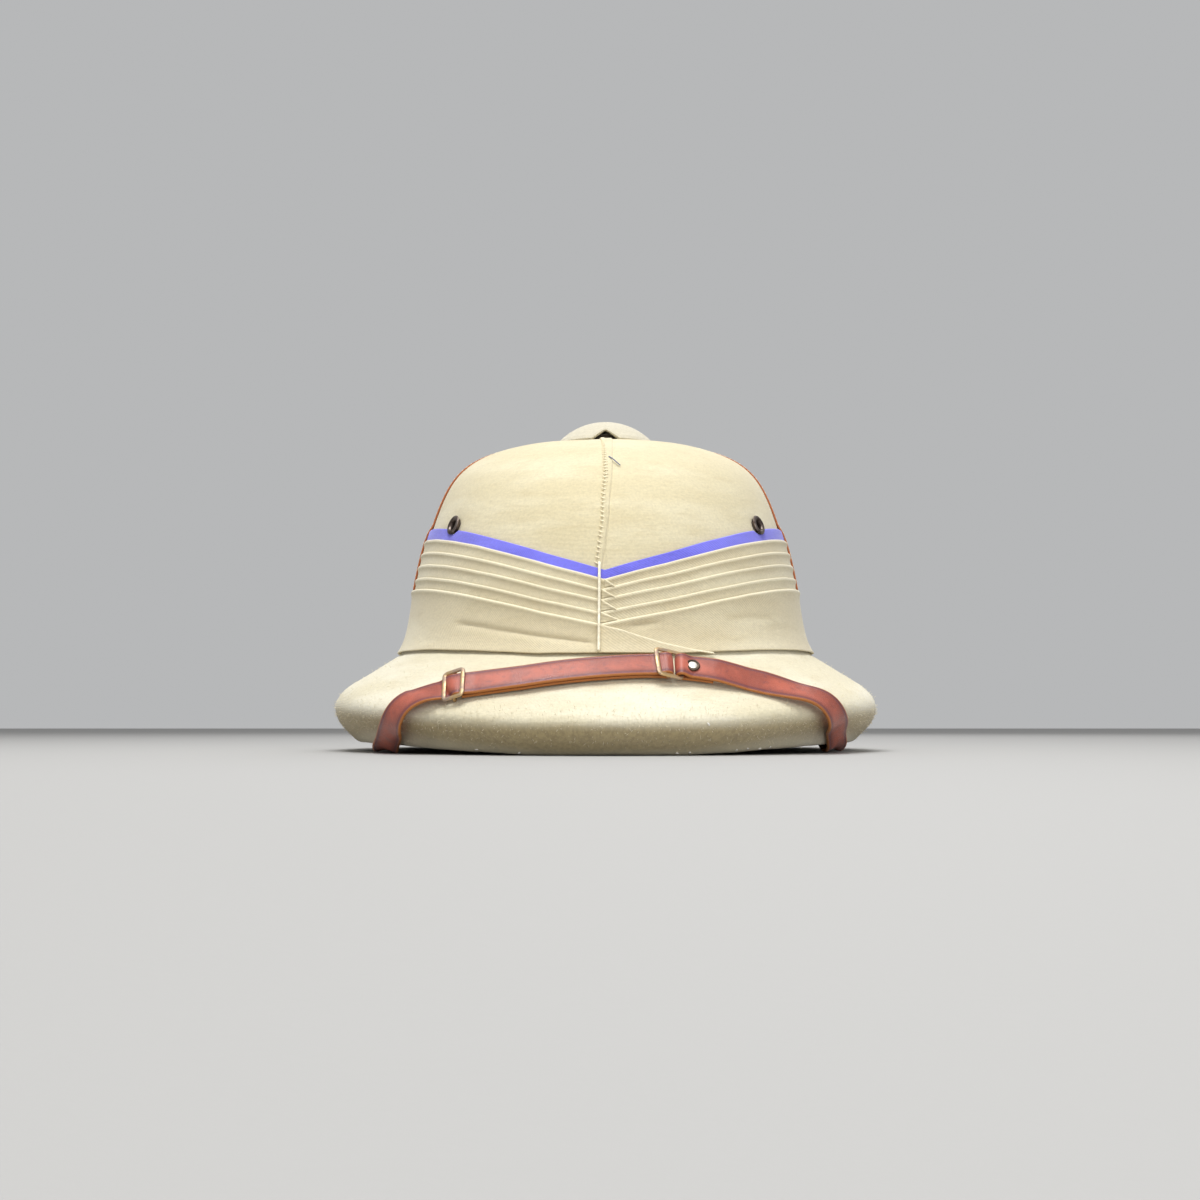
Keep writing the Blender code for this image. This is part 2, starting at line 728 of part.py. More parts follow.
def make_vent_collar():
    """The raised collar round the vent hole, under the cap."""
    angles = np.linspace(0.0, 2.0 * pi, 2 * ROUND_STEPS, endpoint=False)
    inner = COLLAR_RADIUS - COLLAR_WALL
    top = float(crown_height_at(COLLAR_RADIUS, pi / 2.0)) + GAP + COLLAR_RISE
    rings = np.stack([
        round_ring(angles, inner, top),
        round_ring(angles, COLLAR_RADIUS, top),
        round_ring(angles, COLLAR_RADIUS, crown_height_at(COLLAR_RADIUS, angles) + GAP),
        round_ring(angles, inner, crown_height_at(inner, angles) + GAP),
    ])
    return add_part("vent_collar", loft_mesh("vent_collar", rings, "joined"), "canvas")


def make_eyelets(crown, flash):
    """Metal eyelets at the temples, each in a hole through the flash and the crown."""
    profile = (
        (EYELET_FLANGE_RADIUS - EYELET_FLANGE_ROUND, EYELET_FLANGE),
        (EYELET_FLANGE_RADIUS, EYELET_FLANGE / 2.0),
        (EYELET_FLANGE_RADIUS, 0.0),
        (EYELET_TUBE_RADIUS, 0.0),
        (EYELET_TUBE_RADIUS, -EYELET_DEPTH),
        (EYELET_HOLE_RADIUS, -EYELET_DEPTH),
        (EYELET_HOLE_RADIUS, 0.0),
        (EYELET_TUBE_RADIUS, EYELET_FLANGE),
    )
    for name, angle in (("eyelet_left", -EYELET_ANGLE), ("eyelet_right", EYELET_ANGLE)):
        share = float(wound_line("flash", angle)) + crown_height_share(EYELET_OVER_FLASH)
        wall = on_crown(angle, share)
        axis = crown_normal(angle, share)
        seat = wall + axis * (FOLD_CLOTH + 2.0 * GAP)
        turned(name, profile, True, seat, axis, "dark_metal")
        hole = cutting_cylinder(name + "_hole", EYELET_TUBE_RADIUS + GAP, wall + axis * 2.0 * CROWN_WALL,
                                -axis, 4.0 * CROWN_WALL)
        cut(crown, hole)
        cut(flash, hole)


# Chin strap

def eased(values, steps):
    """A running mean over a number of steps, with the ends held."""
    padded = np.concatenate([np.full(steps, values[0]), values, np.full(steps, values[-1])])
    mean = np.convolve(padded, np.full(2 * steps + 1, 1.0 / (2 * steps + 1)), mode="valid")
    mean[0], mean[-1] = values[0], values[-1]
    return mean


def on_brim(angle, place, proud):
    """Point over the brim's section at a place, between two of its corners."""
    corners = brim_corners(angle, proud)
    corners = np.concatenate([corners, corners[:1]])
    index = np.clip(np.floor(place).astype(int), 0, len(corners) - 2)
    share = (place - index)[..., None]
    column = np.arange(len(angle))
    return corners[index, column] * (1.0 - share) + corners[index + 1, column] * share


def section_runs(angle):
    """Length round the brim's section from its first corner to each one, per angle."""
    corners = brim_corners(angle)
    steps = np.linalg.norm(np.diff(np.concatenate([corners, corners[:1]]), axis=0), axis=2)
    return np.concatenate([np.zeros((1, len(angle))), np.cumsum(steps, axis=0)]).T


def place_of_run(angle, run):
    """Place round the brim's section at a length round it."""
    runs = section_runs(angle)
    places = np.arange(runs.shape[1])
    return np.array([np.interp(length, row, places) for length, row in zip(run, runs)])


def run_of_place(angle, place):
    """Length round the brim's section up to a place."""
    runs = section_runs(angle)
    places = np.arange(runs.shape[1])
    return np.array([np.interp(value, places, row) for value, row in zip(place, runs)])


def route_distances(angle, run):
    """Distance along the brim's surface of each sample of the route."""
    points = on_brim(angle, place_of_run(angle, run), np.zeros(len(angle)))
    return np.concatenate([[0.0], np.cumsum(np.linalg.norm(np.diff(points, axis=0), axis=1))])


def route_table():
    """Distances along the strap's route with the angle and place at each.

    The route runs straight between its points, in angle and length round the section,
    at even steps along the surface, and is then eased by a running mean, taken twice.
    """
    angle = np.radians([row["angle"] for row in STRAP_ROUTE])
    run = run_of_place(angle, np.array([row["place"] for row in STRAP_ROUTE]))
    knots = np.linspace(0.0, len(run) - 1.0, 20 * len(run))
    rows = np.arange(len(run))
    angle, run = np.interp(knots, rows, angle), np.interp(knots, rows, run)
    rough = route_distances(angle, run)
    even = np.linspace(0.0, rough[-1], int(rough[-1] / ROUTE_STEP) + 1)
    angle, run = np.interp(even, rough, angle), np.interp(even, rough, run)
    reach = int(ROUTE_EASE / ROUTE_STEP / 2.0)
    for _ in range(2):
        angle = eased(angle, reach)
        run = eased(run, reach)
    return route_distances(angle, run), angle, place_of_run(angle, run)


def distance_at(angle):
    """Distance along the route at which it passes an angle round the helmet."""
    distances, angles, _ = ROUTE
    return float(np.interp(angle, angles, distances))


def flat_frame(distance):
    """Directions along the route, across it up the brim, and out from its surface."""
    distances, angles, places = ROUTE
    distance = np.atleast_1d(np.asarray(distance, dtype=float))
    angle = np.interp(distance, distances, angles)
    place = np.interp(distance, distances, places)
    level = np.full(len(distance), GAP)
    step = 0.01
    round_brim = on_brim(angle + step, place, level) - on_brim(angle - step, place, level)
    over_section = on_brim(angle, place + step, level) - on_brim(angle, place - step, level)
    up = np.cross(over_section, round_brim)
    outward = on_brim(angle, place, 2.0 * level) - on_brim(angle, place, level)
    up *= np.sign(np.sum(up * outward, axis=1))[:, None]
    ahead, behind = (
        on_brim(np.interp(distance + side, distances, angles),
                np.interp(distance + side, distances, places), level)
        for side in (ROUTE_STEP, -ROUTE_STEP)
    )
    along = ahead - behind
    across = np.cross(up, along)
    across /= np.linalg.norm(across, axis=1, keepdims=True)
    along /= np.linalg.norm(along, axis=1, keepdims=True)
    return along, across, np.cross(along, across)


def route_frame(distance):
    """Directions along the strap, across it and out of its face, with its lean."""
    along, across, up = flat_frame(distance)
    angle = np.degrees(np.interp(np.atleast_1d(distance), *ROUTE[:2]))
    lean_angles = [row["angle"] for row in STRAP_LEAN]
    lean = np.radians(np.interp(angle, lean_angles, [row["lean"] for row in STRAP_LEAN]))[:, None]
    leaning = across * np.cos(lean) + up * np.sin(lean)
    return along, leaning, up * np.cos(lean) - across * np.sin(lean)


def over_route(distance, level):
    """Point at a distance along the strap's route and a level over its seat.

    The seat is the brim's surface, turned about the strap's lower edge by its lean.
    """
    distances, angles, places = ROUTE
    distance = np.atleast_1d(np.asarray(distance, dtype=float))
    level = np.broadcast_to(level, distance.shape)
    seat = on_brim(np.interp(distance, distances, angles), np.interp(distance, distances, places), level)
    _, across, up = flat_frame(distance)
    _, leaning, out = route_frame(distance)
    to_edge = STRAP_WIDTH / 2.0 + GAP + WIRE
    return seat + (leaning - across) * to_edge + (out - up) * level[:, None]


def strap_section(distance):
    """Half of the strap's section, from its middle to an edge.

    On the brim's faces it lies square to the route. Towards a corner of the brim's
    section it turns to lie along the brim's edge, so that the strap folds over the
    corner without cutting it, and it is lengthened there to keep the strap's width.
    """
    distances, angles, places = ROUTE
    angle = np.interp(distance, distances, angles)
    place = np.interp(distance, distances, places)
    level = np.full(len(distance), GAP)
    square = route_frame(distance)[1]
    step = 0.01
    edgewise = on_brim(angle + step, place, level) - on_brim(angle - step, place, level)
    edgewise *= np.sign(angle)[:, None] / np.linalg.norm(edgewise, axis=1, keepdims=True)
    turn_places = [row["place"] for row in EDGE_TURN]
    turned_share = np.interp(place, turn_places, [row["share"] for row in EDGE_TURN])[:, None]
    section = (1.0 - turned_share) * square + turned_share * edgewise
    return section * STRAP_WIDTH / 2.0 / np.sum(section * square, axis=1, keepdims=True)


def rest_level(distance):
    """Level of a strap's middle where it lies on the brim, higher inside the hollow."""
    distances, _, places = ROUTE
    clearance = np.interp(np.interp(distance, distances, places), UNDERSIDE_PLACES,
                          (GAP, STRAP_UNDER_CLEARANCE))
    return clearance + STRAP_LEATHER / 2.0


def route_stations(start, end):
    """Distances for a strap's sections: even steps, and each corner of the brim's section."""
    distances, _, places = ROUTE
    even = np.arange(start, end, STRAP_STEP)
    lengths = [even, [end]]
    middle = int(np.argmin(places))
    corners = np.arange(3.0, 9.0)
    left = np.interp(corners, places[:middle][::-1], distances[:middle][::-1])
    right = np.interp(corners, places[middle:], distances[middle:])
    turns = np.concatenate([left, right])
    turns = turns[(turns > start) & (turns < end)]
    crowded = np.any(np.abs(even[:, None] - turns[None, :]) < STATION_ROOM, axis=1)
    return np.unique(np.concatenate([even[~crowded], [start, end], turns]))


def strap_mesh(name, line):
    """A strap whose middle follows (distance, level) points over the brim.

    Its faces lie half a thickness to each side of that line in the plane of distance
    and level, mitred where it bends, and its edges half a width across.
    """
    line = np.asarray(line, dtype=float)
    steps = np.diff(line, axis=0)
    steps /= np.linalg.norm(steps, axis=1, keepdims=True)
    normals = np.stack([-steps[:, 1], steps[:, 0]], axis=1)
    before = np.vstack([normals[:1], normals])
    after = np.vstack([normals, normals[-1:]])
    mitre = (before + after) / (1.0 + np.sum(before * after, axis=1, keepdims=True))
    high = line + mitre * STRAP_LEATHER / 2.0
    low = line - mitre * STRAP_LEATHER / 2.0
    across = strap_section(line[:, 0])
    top = over_route(high[:, 0], high[:, 1])
    bottom = over_route(low[:, 0], low[:, 1])
    rings = np.stack([bottom - across, bottom + across, top + across, top - across], axis=1)
    return loft_mesh(name, rings, "capped")


def bend_round(centre, level, radius, first, last, count):
    """Points of an arc in the plane of distance and level."""
    turn = np.linspace(first, last, count)
    return np.stack([centre + radius * np.cos(turn), level + radius * np.sin(turn)], axis=1)


def stack_levels():
    """Middle levels of one strap layer, of a second on it, and of wire over each."""
    one = GAP + STRAP_LEATHER / 2.0
    two = one + STRAP_LEATHER + GAP
    wire_over_one = one + STRAP_LEATHER / 2.0 + GAP + WIRE / 2.0
    return one, two, wire_over_one, wire_over_one + STRAP_LEATHER + GAP


def slide_at():
    """Distance of the slide's centre bar along the route."""
    return distance_at(SLIDE_ANGLE)


def ring_at():
    """Distance of the ring's middle along the route."""
    return distance_at(RING_ANGLE)


def ring_bars():
    """Distances of the ring's two bars, far enough apart for both folded straps."""
    half = WIRE / 2.0 + GAP + STRAP_LEATHER + GAP / 2.0
    return ring_at() - half, ring_at() + half


def make_long_strap():
    """From the left post up through the slide, round the ring's bar and back beneath."""
    one, two, wire_one, _ = stack_levels()
    slide = slide_at()
    bar = ring_bars()[0]
    turn = WIRE / 2.0 + GAP + STRAP_LEATHER / 2.0
    first = route_stations(post_distance() - STRAP_TAIL, slide - SLIDE_SPACING / 2.0 + WIRE / 2.0)
    approach = bar - 3.0 * WIRE
    middle = route_stations(slide + 2.0 * SLIDE_SPACING, approach - STRAP_STEP / 2.0)
    line = [
        np.stack([first, rest_level(first)], axis=1),
        [(slide - WIRE / 2.0, two), (slide + SLIDE_SPACING, two)],
        np.stack([middle, np.full(len(middle), two)], axis=1),
        [(approach, two + GAP / 2.0)],
        bend_round(bar, wire_one, turn, pi / 2.0 + FOLD_APPROACH, -pi / 2.0, 9),
        np.stack([middle[::-1], np.full(len(middle), one)], axis=1),
        [(slide + SLIDE_SPACING, one), (slide + WIRE / 2.0 + 2.0 * GAP, one)],
    ]
    return add_part("chin_strap_long", strap_mesh("chin_strap_long", np.vstack(line)), "strap_leather")


def make_short_strap():
    """From the ring's other bar, doubled as far as the rivet, to the right post."""
    one, two, wire_one, _ = stack_levels()
    bar = ring_bars()[1]
    turn = WIRE / 2.0 + GAP + STRAP_LEATHER / 2.0
    fold_end = bar + SHORT_UNDERLAY
    settled = fold_end + 3.0 * STRAP_LEATHER
    last = route_stations(settled, ROUTE[0][-1] - post_distance() + STRAP_TAIL)
    line = [
        [(fold_end, one), (bar + STRAP_STEP, one)],
        bend_round(bar, wire_one, turn, -pi / 2.0, -3.0 * pi / 2.0 - FOLD_APPROACH, 9),
        [(bar + turn + STRAP_LEATHER, two), (bar + STRAP_STEP, two), (fold_end + STRAP_LEATHER / 2.0, two)],
        np.stack([last, rest_level(last)], axis=1),
    ]
    return add_part("chin_strap_short", strap_mesh("chin_strap_short", np.vstack(line)), "strap_leather")


def post_distance():
    """Distance of the left post along the route, with room for the strap's end."""
    return STRAP_TAIL


def over_frame(distance, offset, across, level):
    """Point beside the strap's route, at an offset along it and a distance across."""
    base = over_route(np.array([distance + offset]), np.array([level]))[0]
    return base + route_frame(distance)[1][0] * across


def rounded_frame(distance, half_length, half_width, level_low, level_high):
    """Points of a rounded rectangle of wire about the strap, tilting along it."""
    corner = WIRE * 0.9
    points = []
    for sign_x, sign_y in ((1, 1), (-1, 1), (-1, -1), (1, -1)):
        middle = (sqrt(0.5) - 1.0) * corner
        spread = ((0.0, -corner), (middle, middle), (-corner, 0.0))
        for inset in spread if sign_x * sign_y > 0 else reversed(spread):
            offset = sign_x * (half_length + inset[0])
            across = sign_y * (half_width + inset[1])
            level = level_low + (level_high - level_low) * (offset / half_length + 1.0) / 2.0
            points.append(over_frame(distance, offset, across, level))
    return points


def three_bar(name, middle, half_length, levels, centre_at, centre_level):
    """A wire frame about the strap with a centre bar let down between its rails.

    The frame tilts from the first of two levels to the second, and the centre bar
    passes at its own distance and level.
    """
    half_width = STRAP_WIDTH / 2.0 + GAP + WIRE / 2.0
    frame = rounded_frame(middle, half_length, half_width, *levels)
    buckle = add_part(name, wire_mesh(name, frame, True), "brass")
    offset = centre_at - middle
    rail = levels[0] + (levels[1] - levels[0]) * (offset / half_length + 1.0) / 2.0
    points = [over_frame(middle, offset, side * half_width, level)
              for side, level in ((-1, rail), (-1, centre_level), (1, centre_level), (1, rail))]
    bar_name = name + "_centre_bar"
    centre = bpy.data.objects.new(bar_name, wire_mesh(bar_name, points, False))
    PARTS.objects.link(centre)
    join(buckle, as_cutter(centre))
    return buckle


def make_slide():
    """The slide: outer bars over the strap and a centre bar under it."""
    _, _, over_one, over_two = stack_levels()
    return three_bar("strap_slide", slide_at(), SLIDE_SPACING / 2.0, (over_one, over_two), slide_at(),
                     GAP + WIRE / 2.0)


def make_ring():
    """The ring between the straps: one bar over the long strap, one in each fold."""
    one_bar, other_bar = ring_bars()
    first_bar = one_bar - RING_REACH
    _, _, wire_one, wire_two = stack_levels()
    return three_bar("strap_ring", (first_bar + other_bar) / 2.0, (other_bar - first_bar) / 2.0,
                     (wire_two + RING_RISE, wire_one), one_bar, wire_one)


def make_rivet(short_strap):
    """The rivet that closes the short strap's fold."""
    two = stack_levels()[1]
    rivet_at = ring_at() + RIVET_FROM_RING
    up = Vector(route_frame(rivet_at)[2][0])
    head_level = two + STRAP_LEATHER / 2.0 + GAP
    seat = over_route(np.array([rivet_at]), np.array([head_level]))[0]
    depth = head_level - GAP
    profile = (
        (0.0, RIVET_HEAD),
        (RIVET_HEAD_RADIUS * 0.55, RIVET_HEAD),
        (RIVET_HEAD_RADIUS, RIVET_HEAD * 0.4),
        (RIVET_HEAD_RADIUS, 0.0),
        (RIVET_SHANK_RADIUS, 0.0),
        (RIVET_SHANK_RADIUS, -depth),
        (0.0, -depth),
    )
    turned("strap_rivet", profile, False, seat, up, "brass")
    hole = cutting_cylinder("rivet_hole", RIVET_SHANK_RADIUS + GAP, Vector(seat) + up * CUT_PAST, -up,
                            depth + 2.0 * CUT_PAST)
    cut(short_strap, hole)


def make_posts(brim, long_strap, short_strap):
    """Plain posts that hold the strap's ends to the wall of the head opening."""
    ends = (
        ("strap_post_left", post_distance(), long_strap),
        ("strap_post_right", ROUTE[0][-1] - post_distance(), short_strap),
    )
    for name, distance, strap in ends:
        up = Vector(route_frame(distance)[2][0])
        head_level = STRAP_UNDER_CLEARANCE + STRAP_LEATHER + GAP
        seat = over_route(np.array([distance]), np.array([head_level]))[0]
        depth = head_level + POST_DEPTH
        profile = (
            (0.0, POST_HEAD),
            (POST_HEAD_RADIUS * 0.7, POST_HEAD),
            (POST_HEAD_RADIUS, 0.5 * POST_HEAD),
            (POST_HEAD_RADIUS, 0.0),
            (POST_SHANK_RADIUS, 0.0),
            (POST_SHANK_RADIUS, -depth),
            (0.0, -depth),
        )
        turned(name, profile, False, seat, up, "dark_metal")
        hole = cutting_cylinder(name + "_hole", POST_SHANK_RADIUS + GAP, Vector(seat) + up * CUT_PAST, -up,
                                depth + CUT_PAST + GAP)
        cut(brim, hole)
        cut(strap, hole)


def build():
    """Make every sub-part."""
    brim = make_brim()
    crown = make_crown()
    flash = make_wound_cloth()
    make_tape()
    make_side_strips()
    make_vent_collar()
    make_vent_cap()
    make_eyelets(crown, flash)
    long_strap = make_long_strap()
    short_strap = make_short_strap()
    make_slide()
    make_ring()
    make_rivet(short_strap)
    make_posts(brim, long_strap, short_strap)


clear_scene()
PARTS = new_collection("pith_helmet")
CUTTERS = new_collection("cutters")
ROUTE = route_table()
build()
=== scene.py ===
"""The looks of a pith helmet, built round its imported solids.

Lengths are in millimetres and MM turns them into metres. An angle round the helmet
starts at the front, which faces -Y, and grows towards +X.
"""

from math import cos, pi, radians, sin, sqrt

import bmesh
import bpy
import numpy as np
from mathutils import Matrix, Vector


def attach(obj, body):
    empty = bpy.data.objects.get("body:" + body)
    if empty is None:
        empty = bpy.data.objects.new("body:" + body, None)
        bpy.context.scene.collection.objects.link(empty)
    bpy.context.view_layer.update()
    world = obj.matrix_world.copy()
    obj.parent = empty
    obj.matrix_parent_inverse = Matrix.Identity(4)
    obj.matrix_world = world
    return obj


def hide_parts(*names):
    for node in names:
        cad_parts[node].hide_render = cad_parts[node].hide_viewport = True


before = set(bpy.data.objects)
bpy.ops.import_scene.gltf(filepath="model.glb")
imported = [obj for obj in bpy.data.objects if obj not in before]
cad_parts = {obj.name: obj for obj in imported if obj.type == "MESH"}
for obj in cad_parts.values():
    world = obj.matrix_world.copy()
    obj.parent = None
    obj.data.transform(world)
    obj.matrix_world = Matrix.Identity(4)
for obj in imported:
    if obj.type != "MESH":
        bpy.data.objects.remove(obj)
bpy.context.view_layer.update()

MM = 0.001
GAP = 0.3

# Brim, as its solid is cut
BRIM_WIDTH, BRIM_LENGTH, BRIM_RISE = 270.0, 350.0, 43.0
RIDGE_RISE_SIDE, RIDGE_RISE_END = 18.8, 14.2
RIM_ARCH, EDGE_LEAN, LAND_WIDTH = 4.0, 12.3, 4.5
LAND_ANGLE = radians(16.5)
RIDGE_ROUND, RIDGE_FULLNESS, SEAT_RISE = 3.2, 0.9, 3.0
CLOTH_RIDGE_ROUND, CLOTH_RIDGE_FULLNESS = 6.0, 1.8
SIDE_RIDGE_ROUND, SIDE_RIDGE_FULLNESS = 3.0, 1.1
CORNER_REACH = (0.8, 0.6, 0.5, 3.0, 3.1, 3.0, 2.2, 1.8, 2.0)
SIDE_CORNER_REACH = (0.0, 0.0, 0.0, 1.6, 1.6, 1.6, 0.0, 0.0, 0.0)
FACE_PARTS = (3, 3, 26, 1, 1, 9, 1, 22, 8)
BRIM_DENTS = ((0.22, 38.0, 5), (0.10, 11.0, 6))
# How much the brim's edge face takes its darker marked colour, dirt and painted shade, and how much the
# underside by the rim takes it, painted shade
EDGE_FACE_DIRT_AND_SHADE, UNDERSIDE_PAINTED_SHADE = 0.85, 0.3

# Fibres on the brim: how many, their width, and the angles of the tufts in degrees
FIBRES, FIBRE_WIDTH = 5200, 0.17
FIBRE_RISE, FIBRE_SPREAD, FIBRE_FLOOR = 15.0, 7.0, 3.4
TUFTS = (-108.0, -104.0, -100.0, -97.0, -93.0, -88.0, 95.0, 101.0, 150.0, -150.0)
TUFT_WEIGHT, TUFT_WIDTH, TUFT_FLOOR = 1.6, 1.4, 16.0
LINT_SPOTS = {
    "angle": (13.5, 16.0, 26.0, 28.5, 31.5, 34.0, -17.0, -26.0, -8.0, 18.0, 150.0, 200.0),
    "place": (5.9, 5.88, 5.9, 5.86, 5.9, 5.88, 5.9, 5.87, 5.2, 4.6, 5.5, 5.8),
}

# Crown
CROWN_WIDTH, CROWN_LENGTH, CROWN_TOP = 194.0, 231.0, 155.1
CROWN_WALL, CROWN_ROOF, CROWN_FLARE, CROWN_Y = 12.0, 13.0, 6.3, -2.0
DRAW_IN, SHOULDER_ROOT, FLARE_REACH = 0.29, 0.45, 0.07
SHOULDER_POWER, END_SHOULDER_POWER = 15.0, 7.4
VENT_HOLE_RADIUS = 10.0
CROWN_ROWS = (0.0, 0.025, 0.055, 0.10, 0.20, 0.36, 0.55, 0.74, 0.87, 0.95)
TOP_ROWS_RADIUS, CROWN_DENT, DENT_LENGTH = 52.0, 0.25, 46.0

# Lapped seams of the crown and their stitches
SEAM_FINE = 4.0
SEAM_RISE, SEAM_SLOPE, SEAM_GROOVE, SEAM_GROOVE_WIDTH = 0.55, 0.35, 0.25, 0.45
SEAM_FOOT, SEAM_TOP_RADIUS = 2.0, 22.5
SEAM_PITCH, SEAM_STITCH, SEAM_HOLE = 2.5, (2.6, 0.8, 0.6), (1.0, 0.7, 0.4)

# Vent cap and its collar
CAP_RADIUS, CAP_RISE, CAP_EDGE, CAP_WALL = 24.6, 11.1, 1.0, 2.5
NOTCH_HALF, NOTCH_RISE = 7.0, 5.0
CAP_ROUND, CAP_ROUND_ROWS, NOTCH_POWER = 0.5, 7, 1.3
CAP_SEAM_FROM_RIM, CAP_SEAM_WIDTH, CAP_SEAM_DEPTH = 2.6, 0.5, 0.22
COLLAR_RADIUS, COLLAR_WALL, COLLAR_RISE = 17.5, 4.0, 3.2
COLLAR_REACH = ((1.0,), (1.0,), (0.3,), (0.3,))

# Eyelets
EYELET_ANGLE, EYELET_OVER_FLASH = radians(53.0), 1.6
EYELET_FLANGE_RADIUS, EYELET_TUBE_RADIUS, EYELET_HOLE_RADIUS = 4.8, 3.1, 2.4
EYELET_DEPTH, EYELET_HEIGHT = 7.0, 0.8
FLASH_DIP, FLASH_DIP_REACH = 2.3, 3.3

# Wound cloth: thickness, and how proud a settled face and a lapping edge stand
FOLD_CLOTH, BAND_CLOTH, TAPE_CLOTH = 1.0, 1.6, 1.5
FOLD_FACE, BAND_FACE, LAP = 1.3, 2.2, 0.95
BAND_LAP = 1.0
TUCK = 0.9
CLOTH_SAG, SAG_LENGTH, SAG_EDGE = 0.18, 23.0, 1.4
# Share of the paler edge colour on the folds' upper edges and on the band's lapped end: wear and a painted
# highlight
FOLD_EDGE_WEAR_AND_HIGHLIGHT, LAP_EDGE_WEAR_AND_HIGHLIGHT = 0.65, 0.6
CROSSING_POWER = 1.08
TAPE_WIDTH, TAPE_OFF_CENTRE = 1.2, -3.7
WOUND_LINES = {
    "flash": {"side": 0.576, "front": 0.339, "centre": -0.4},
    "fold_1": {"side": 0.525, "front": 0.302, "centre": -0.5},
    "fold_2": {"side": 0.467, "front": 0.262, "centre": -1.2},
    "fold_3": {"side": 0.410, "front": 0.220, "centre": -1.4},
    "fold_4": {"side": 0.350, "front": 0.170, "centre": -1.4},
    "band": {"side": 0.299, "front": 0.123, "centre": -1.4},
}

# Creases of the wide band: paths of (degrees, height), width and depth
CREASES = (
    (((-44.0, 59.0), (-38.0, 57.6), (-28.0, 54.6), (-15.0, 51.0), (-2.0, 48.0)), 1.3, 1.15),
    (((-60.0, 53.0), (-52.0, 51.5), (-44.0, 50.0)), 1.2, 0.35),
    (((5.0, 55.5), (9.0, 56.5), (14.0, 57.5)), 1.5, 0.8),
    (((33.0, 60.0), (40.0, 61.0), (52.0, 62.5)), 1.3, 0.35),
    (((44.0, 56.0), (52.0, 57.0), (60.0, 58.0)), 1.1, 0.25),
    (((100.0, 60.0), (118.0, 63.0), (135.0, 61.0)), 1.6, 0.4),
    (((-150.0, 58.0), (-128.0, 62.0), (-108.0, 60.0)), 1.6, 0.4),
)

# The wide band's free end: its upper edge by degrees, half its thickness, how proud it is
LAP_END = {"angle": (-2.0, 4.0, 8.0, 14.0, 21.0, 26.5), "top": (56.6, 54.0, 51.6, 48.5, 45.9, 44.6)}
LAP_HALF, LAP_PROUD, LAP_LOW = 0.45, 3.35, 1.35

# Ends of the narrow folds: the fold, the one below, and where each starts and stops
FOLD_ENDS = (("fold_1", "fold_2", -0.5, 2.1), ("fold_2", "fold_3", -1.25, 2.1),
             ("fold_3", "fold_4", -1.45, 2.5), ("fold_4", "band", -1.45, 3.3))
END_HALF, END_PROUD, FOLD_ENDS_LENGTH = 0.4, 2.0, 22.0

# Side strips
STRIP_WIDTH, STRIP_LEATHER, STRIP_TOP_CLEARANCE = 9.0, 1.2, 4.0
PRESSED, PRESSED_DEGREES = 0.6, 5.5
STRIP_PITCH, STRIP_STITCH, STRIP_STITCH_INSET = 2.8, (2.0, 0.5, 0.4), 1.4

# Leather: edge radius over thickness, and the groove beside each edge
LEATHER_EDGE, LEATHER_FACE, LEATHER_BACK = 0.42, 0.88, 0.92
GROOVE_INSET, GROOVE_DEPTH, GROOVE_WIDTH = 1.35, 0.16, 0.28

# Chin strap and its fittings
STRAP_WIDTH, STRAP_LEATHER, STRAP_UNDER_CLEARANCE = 12.0, 1.8, 1.0
WIRE, SLIDE_SPACING, RING_REACH, RING_RISE = 1.6, 8.6, 4.4, 0.7
RIVET_HEAD_RADIUS, RIVET_FROM_RING, SHORT_UNDERLAY = 3.15, 7.6, 14.2
SLIDE_ANGLE, RING_ANGLE, FOLD_APPROACH = radians(-29.5), radians(14.0), radians(20.0)
ROUTE_EASE, ROUTE_STEP, STRAP_STEP = 16.0, 0.5, 0.55
UNDERSIDE_PLACES = (6.6, 7.1)
EDGE_LIFT = 2.6
EDGE_LIFT_FROM, EDGE_LIFT_TO = (2.7, 3.6), (4.2, 5.6)
BEND_DEGREES, BEND_PLACES = (33.0, 39.0), (7.2, 7.7)
FRAME_CORNER, FRAME_WIDE, FRAME_TALL, BAR_WIDE, BAR_TALL, BAR_DIP = 1.5, 1.2, 1.1, 1.1, 1.3, 0.4
# Share of the rivet head's radius painted near white at its centre: a painted highlight
RIVET_SHANK_RADIUS, RIVET_CENTRE, RIVET_CENTRE_RISE = 1.3, 0.56, 0.7
RIVET_HEAD = ((0.0, 0.75), (0.30, 0.7), (0.5, 0.45), (0.62, 0.35), (0.8, 0.72), (0.95, 0.5),
              (1.0, 0.05), (0.8, -0.1))
STRAP_LEAN = {
    "angle": (-52.0, -46.0, -40.0, -30.0, -20.0, 0.0, 14.0, 22.0, 30.0, 40.0, 47.0, 53.0),
    "lean": (0.0, 14.0, 28.0, 24.0, 20.0, 18.0, 20.0, 26.0, 29.0, 29.0, 15.0, 0.0),
}
EDGE_TURN = {"place": (2.70, 2.95, 7.00, 7.25, 7.70, 7.90), "share": (0.0, 1.0, 1.0, 0.0, 0.0, 1.0)}
STRAP_ROUTE = {
    "angle": (-90.0, -90.0, -89.5, -85.0, -70.0, -59.0, -54.0, -50.0, -45.0, -40.0, -37.0, -33.0,
              -26.0, -18.0, -9.0, 0.0, 9.0, 18.0, 26.0, 31.0, 36.0, 41.0, 44.5, 49.5, 55.0, 58.0,
              61.5, 72.0, 85.0, 89.5, 90.0, 90.0),
    "place": (8.85, 8.15, 7.90, 7.70, 7.35, 7.00, 6.20, 5.80, 5.30, 4.10, 2.97, 2.84, 2.69, 2.55,
              2.43, 2.36, 2.32, 2.38, 2.53, 2.67, 2.82, 3.00, 4.10, 5.20, 5.75, 6.20, 7.00, 7.35,
              7.70, 7.90, 8.15, 8.85),
}

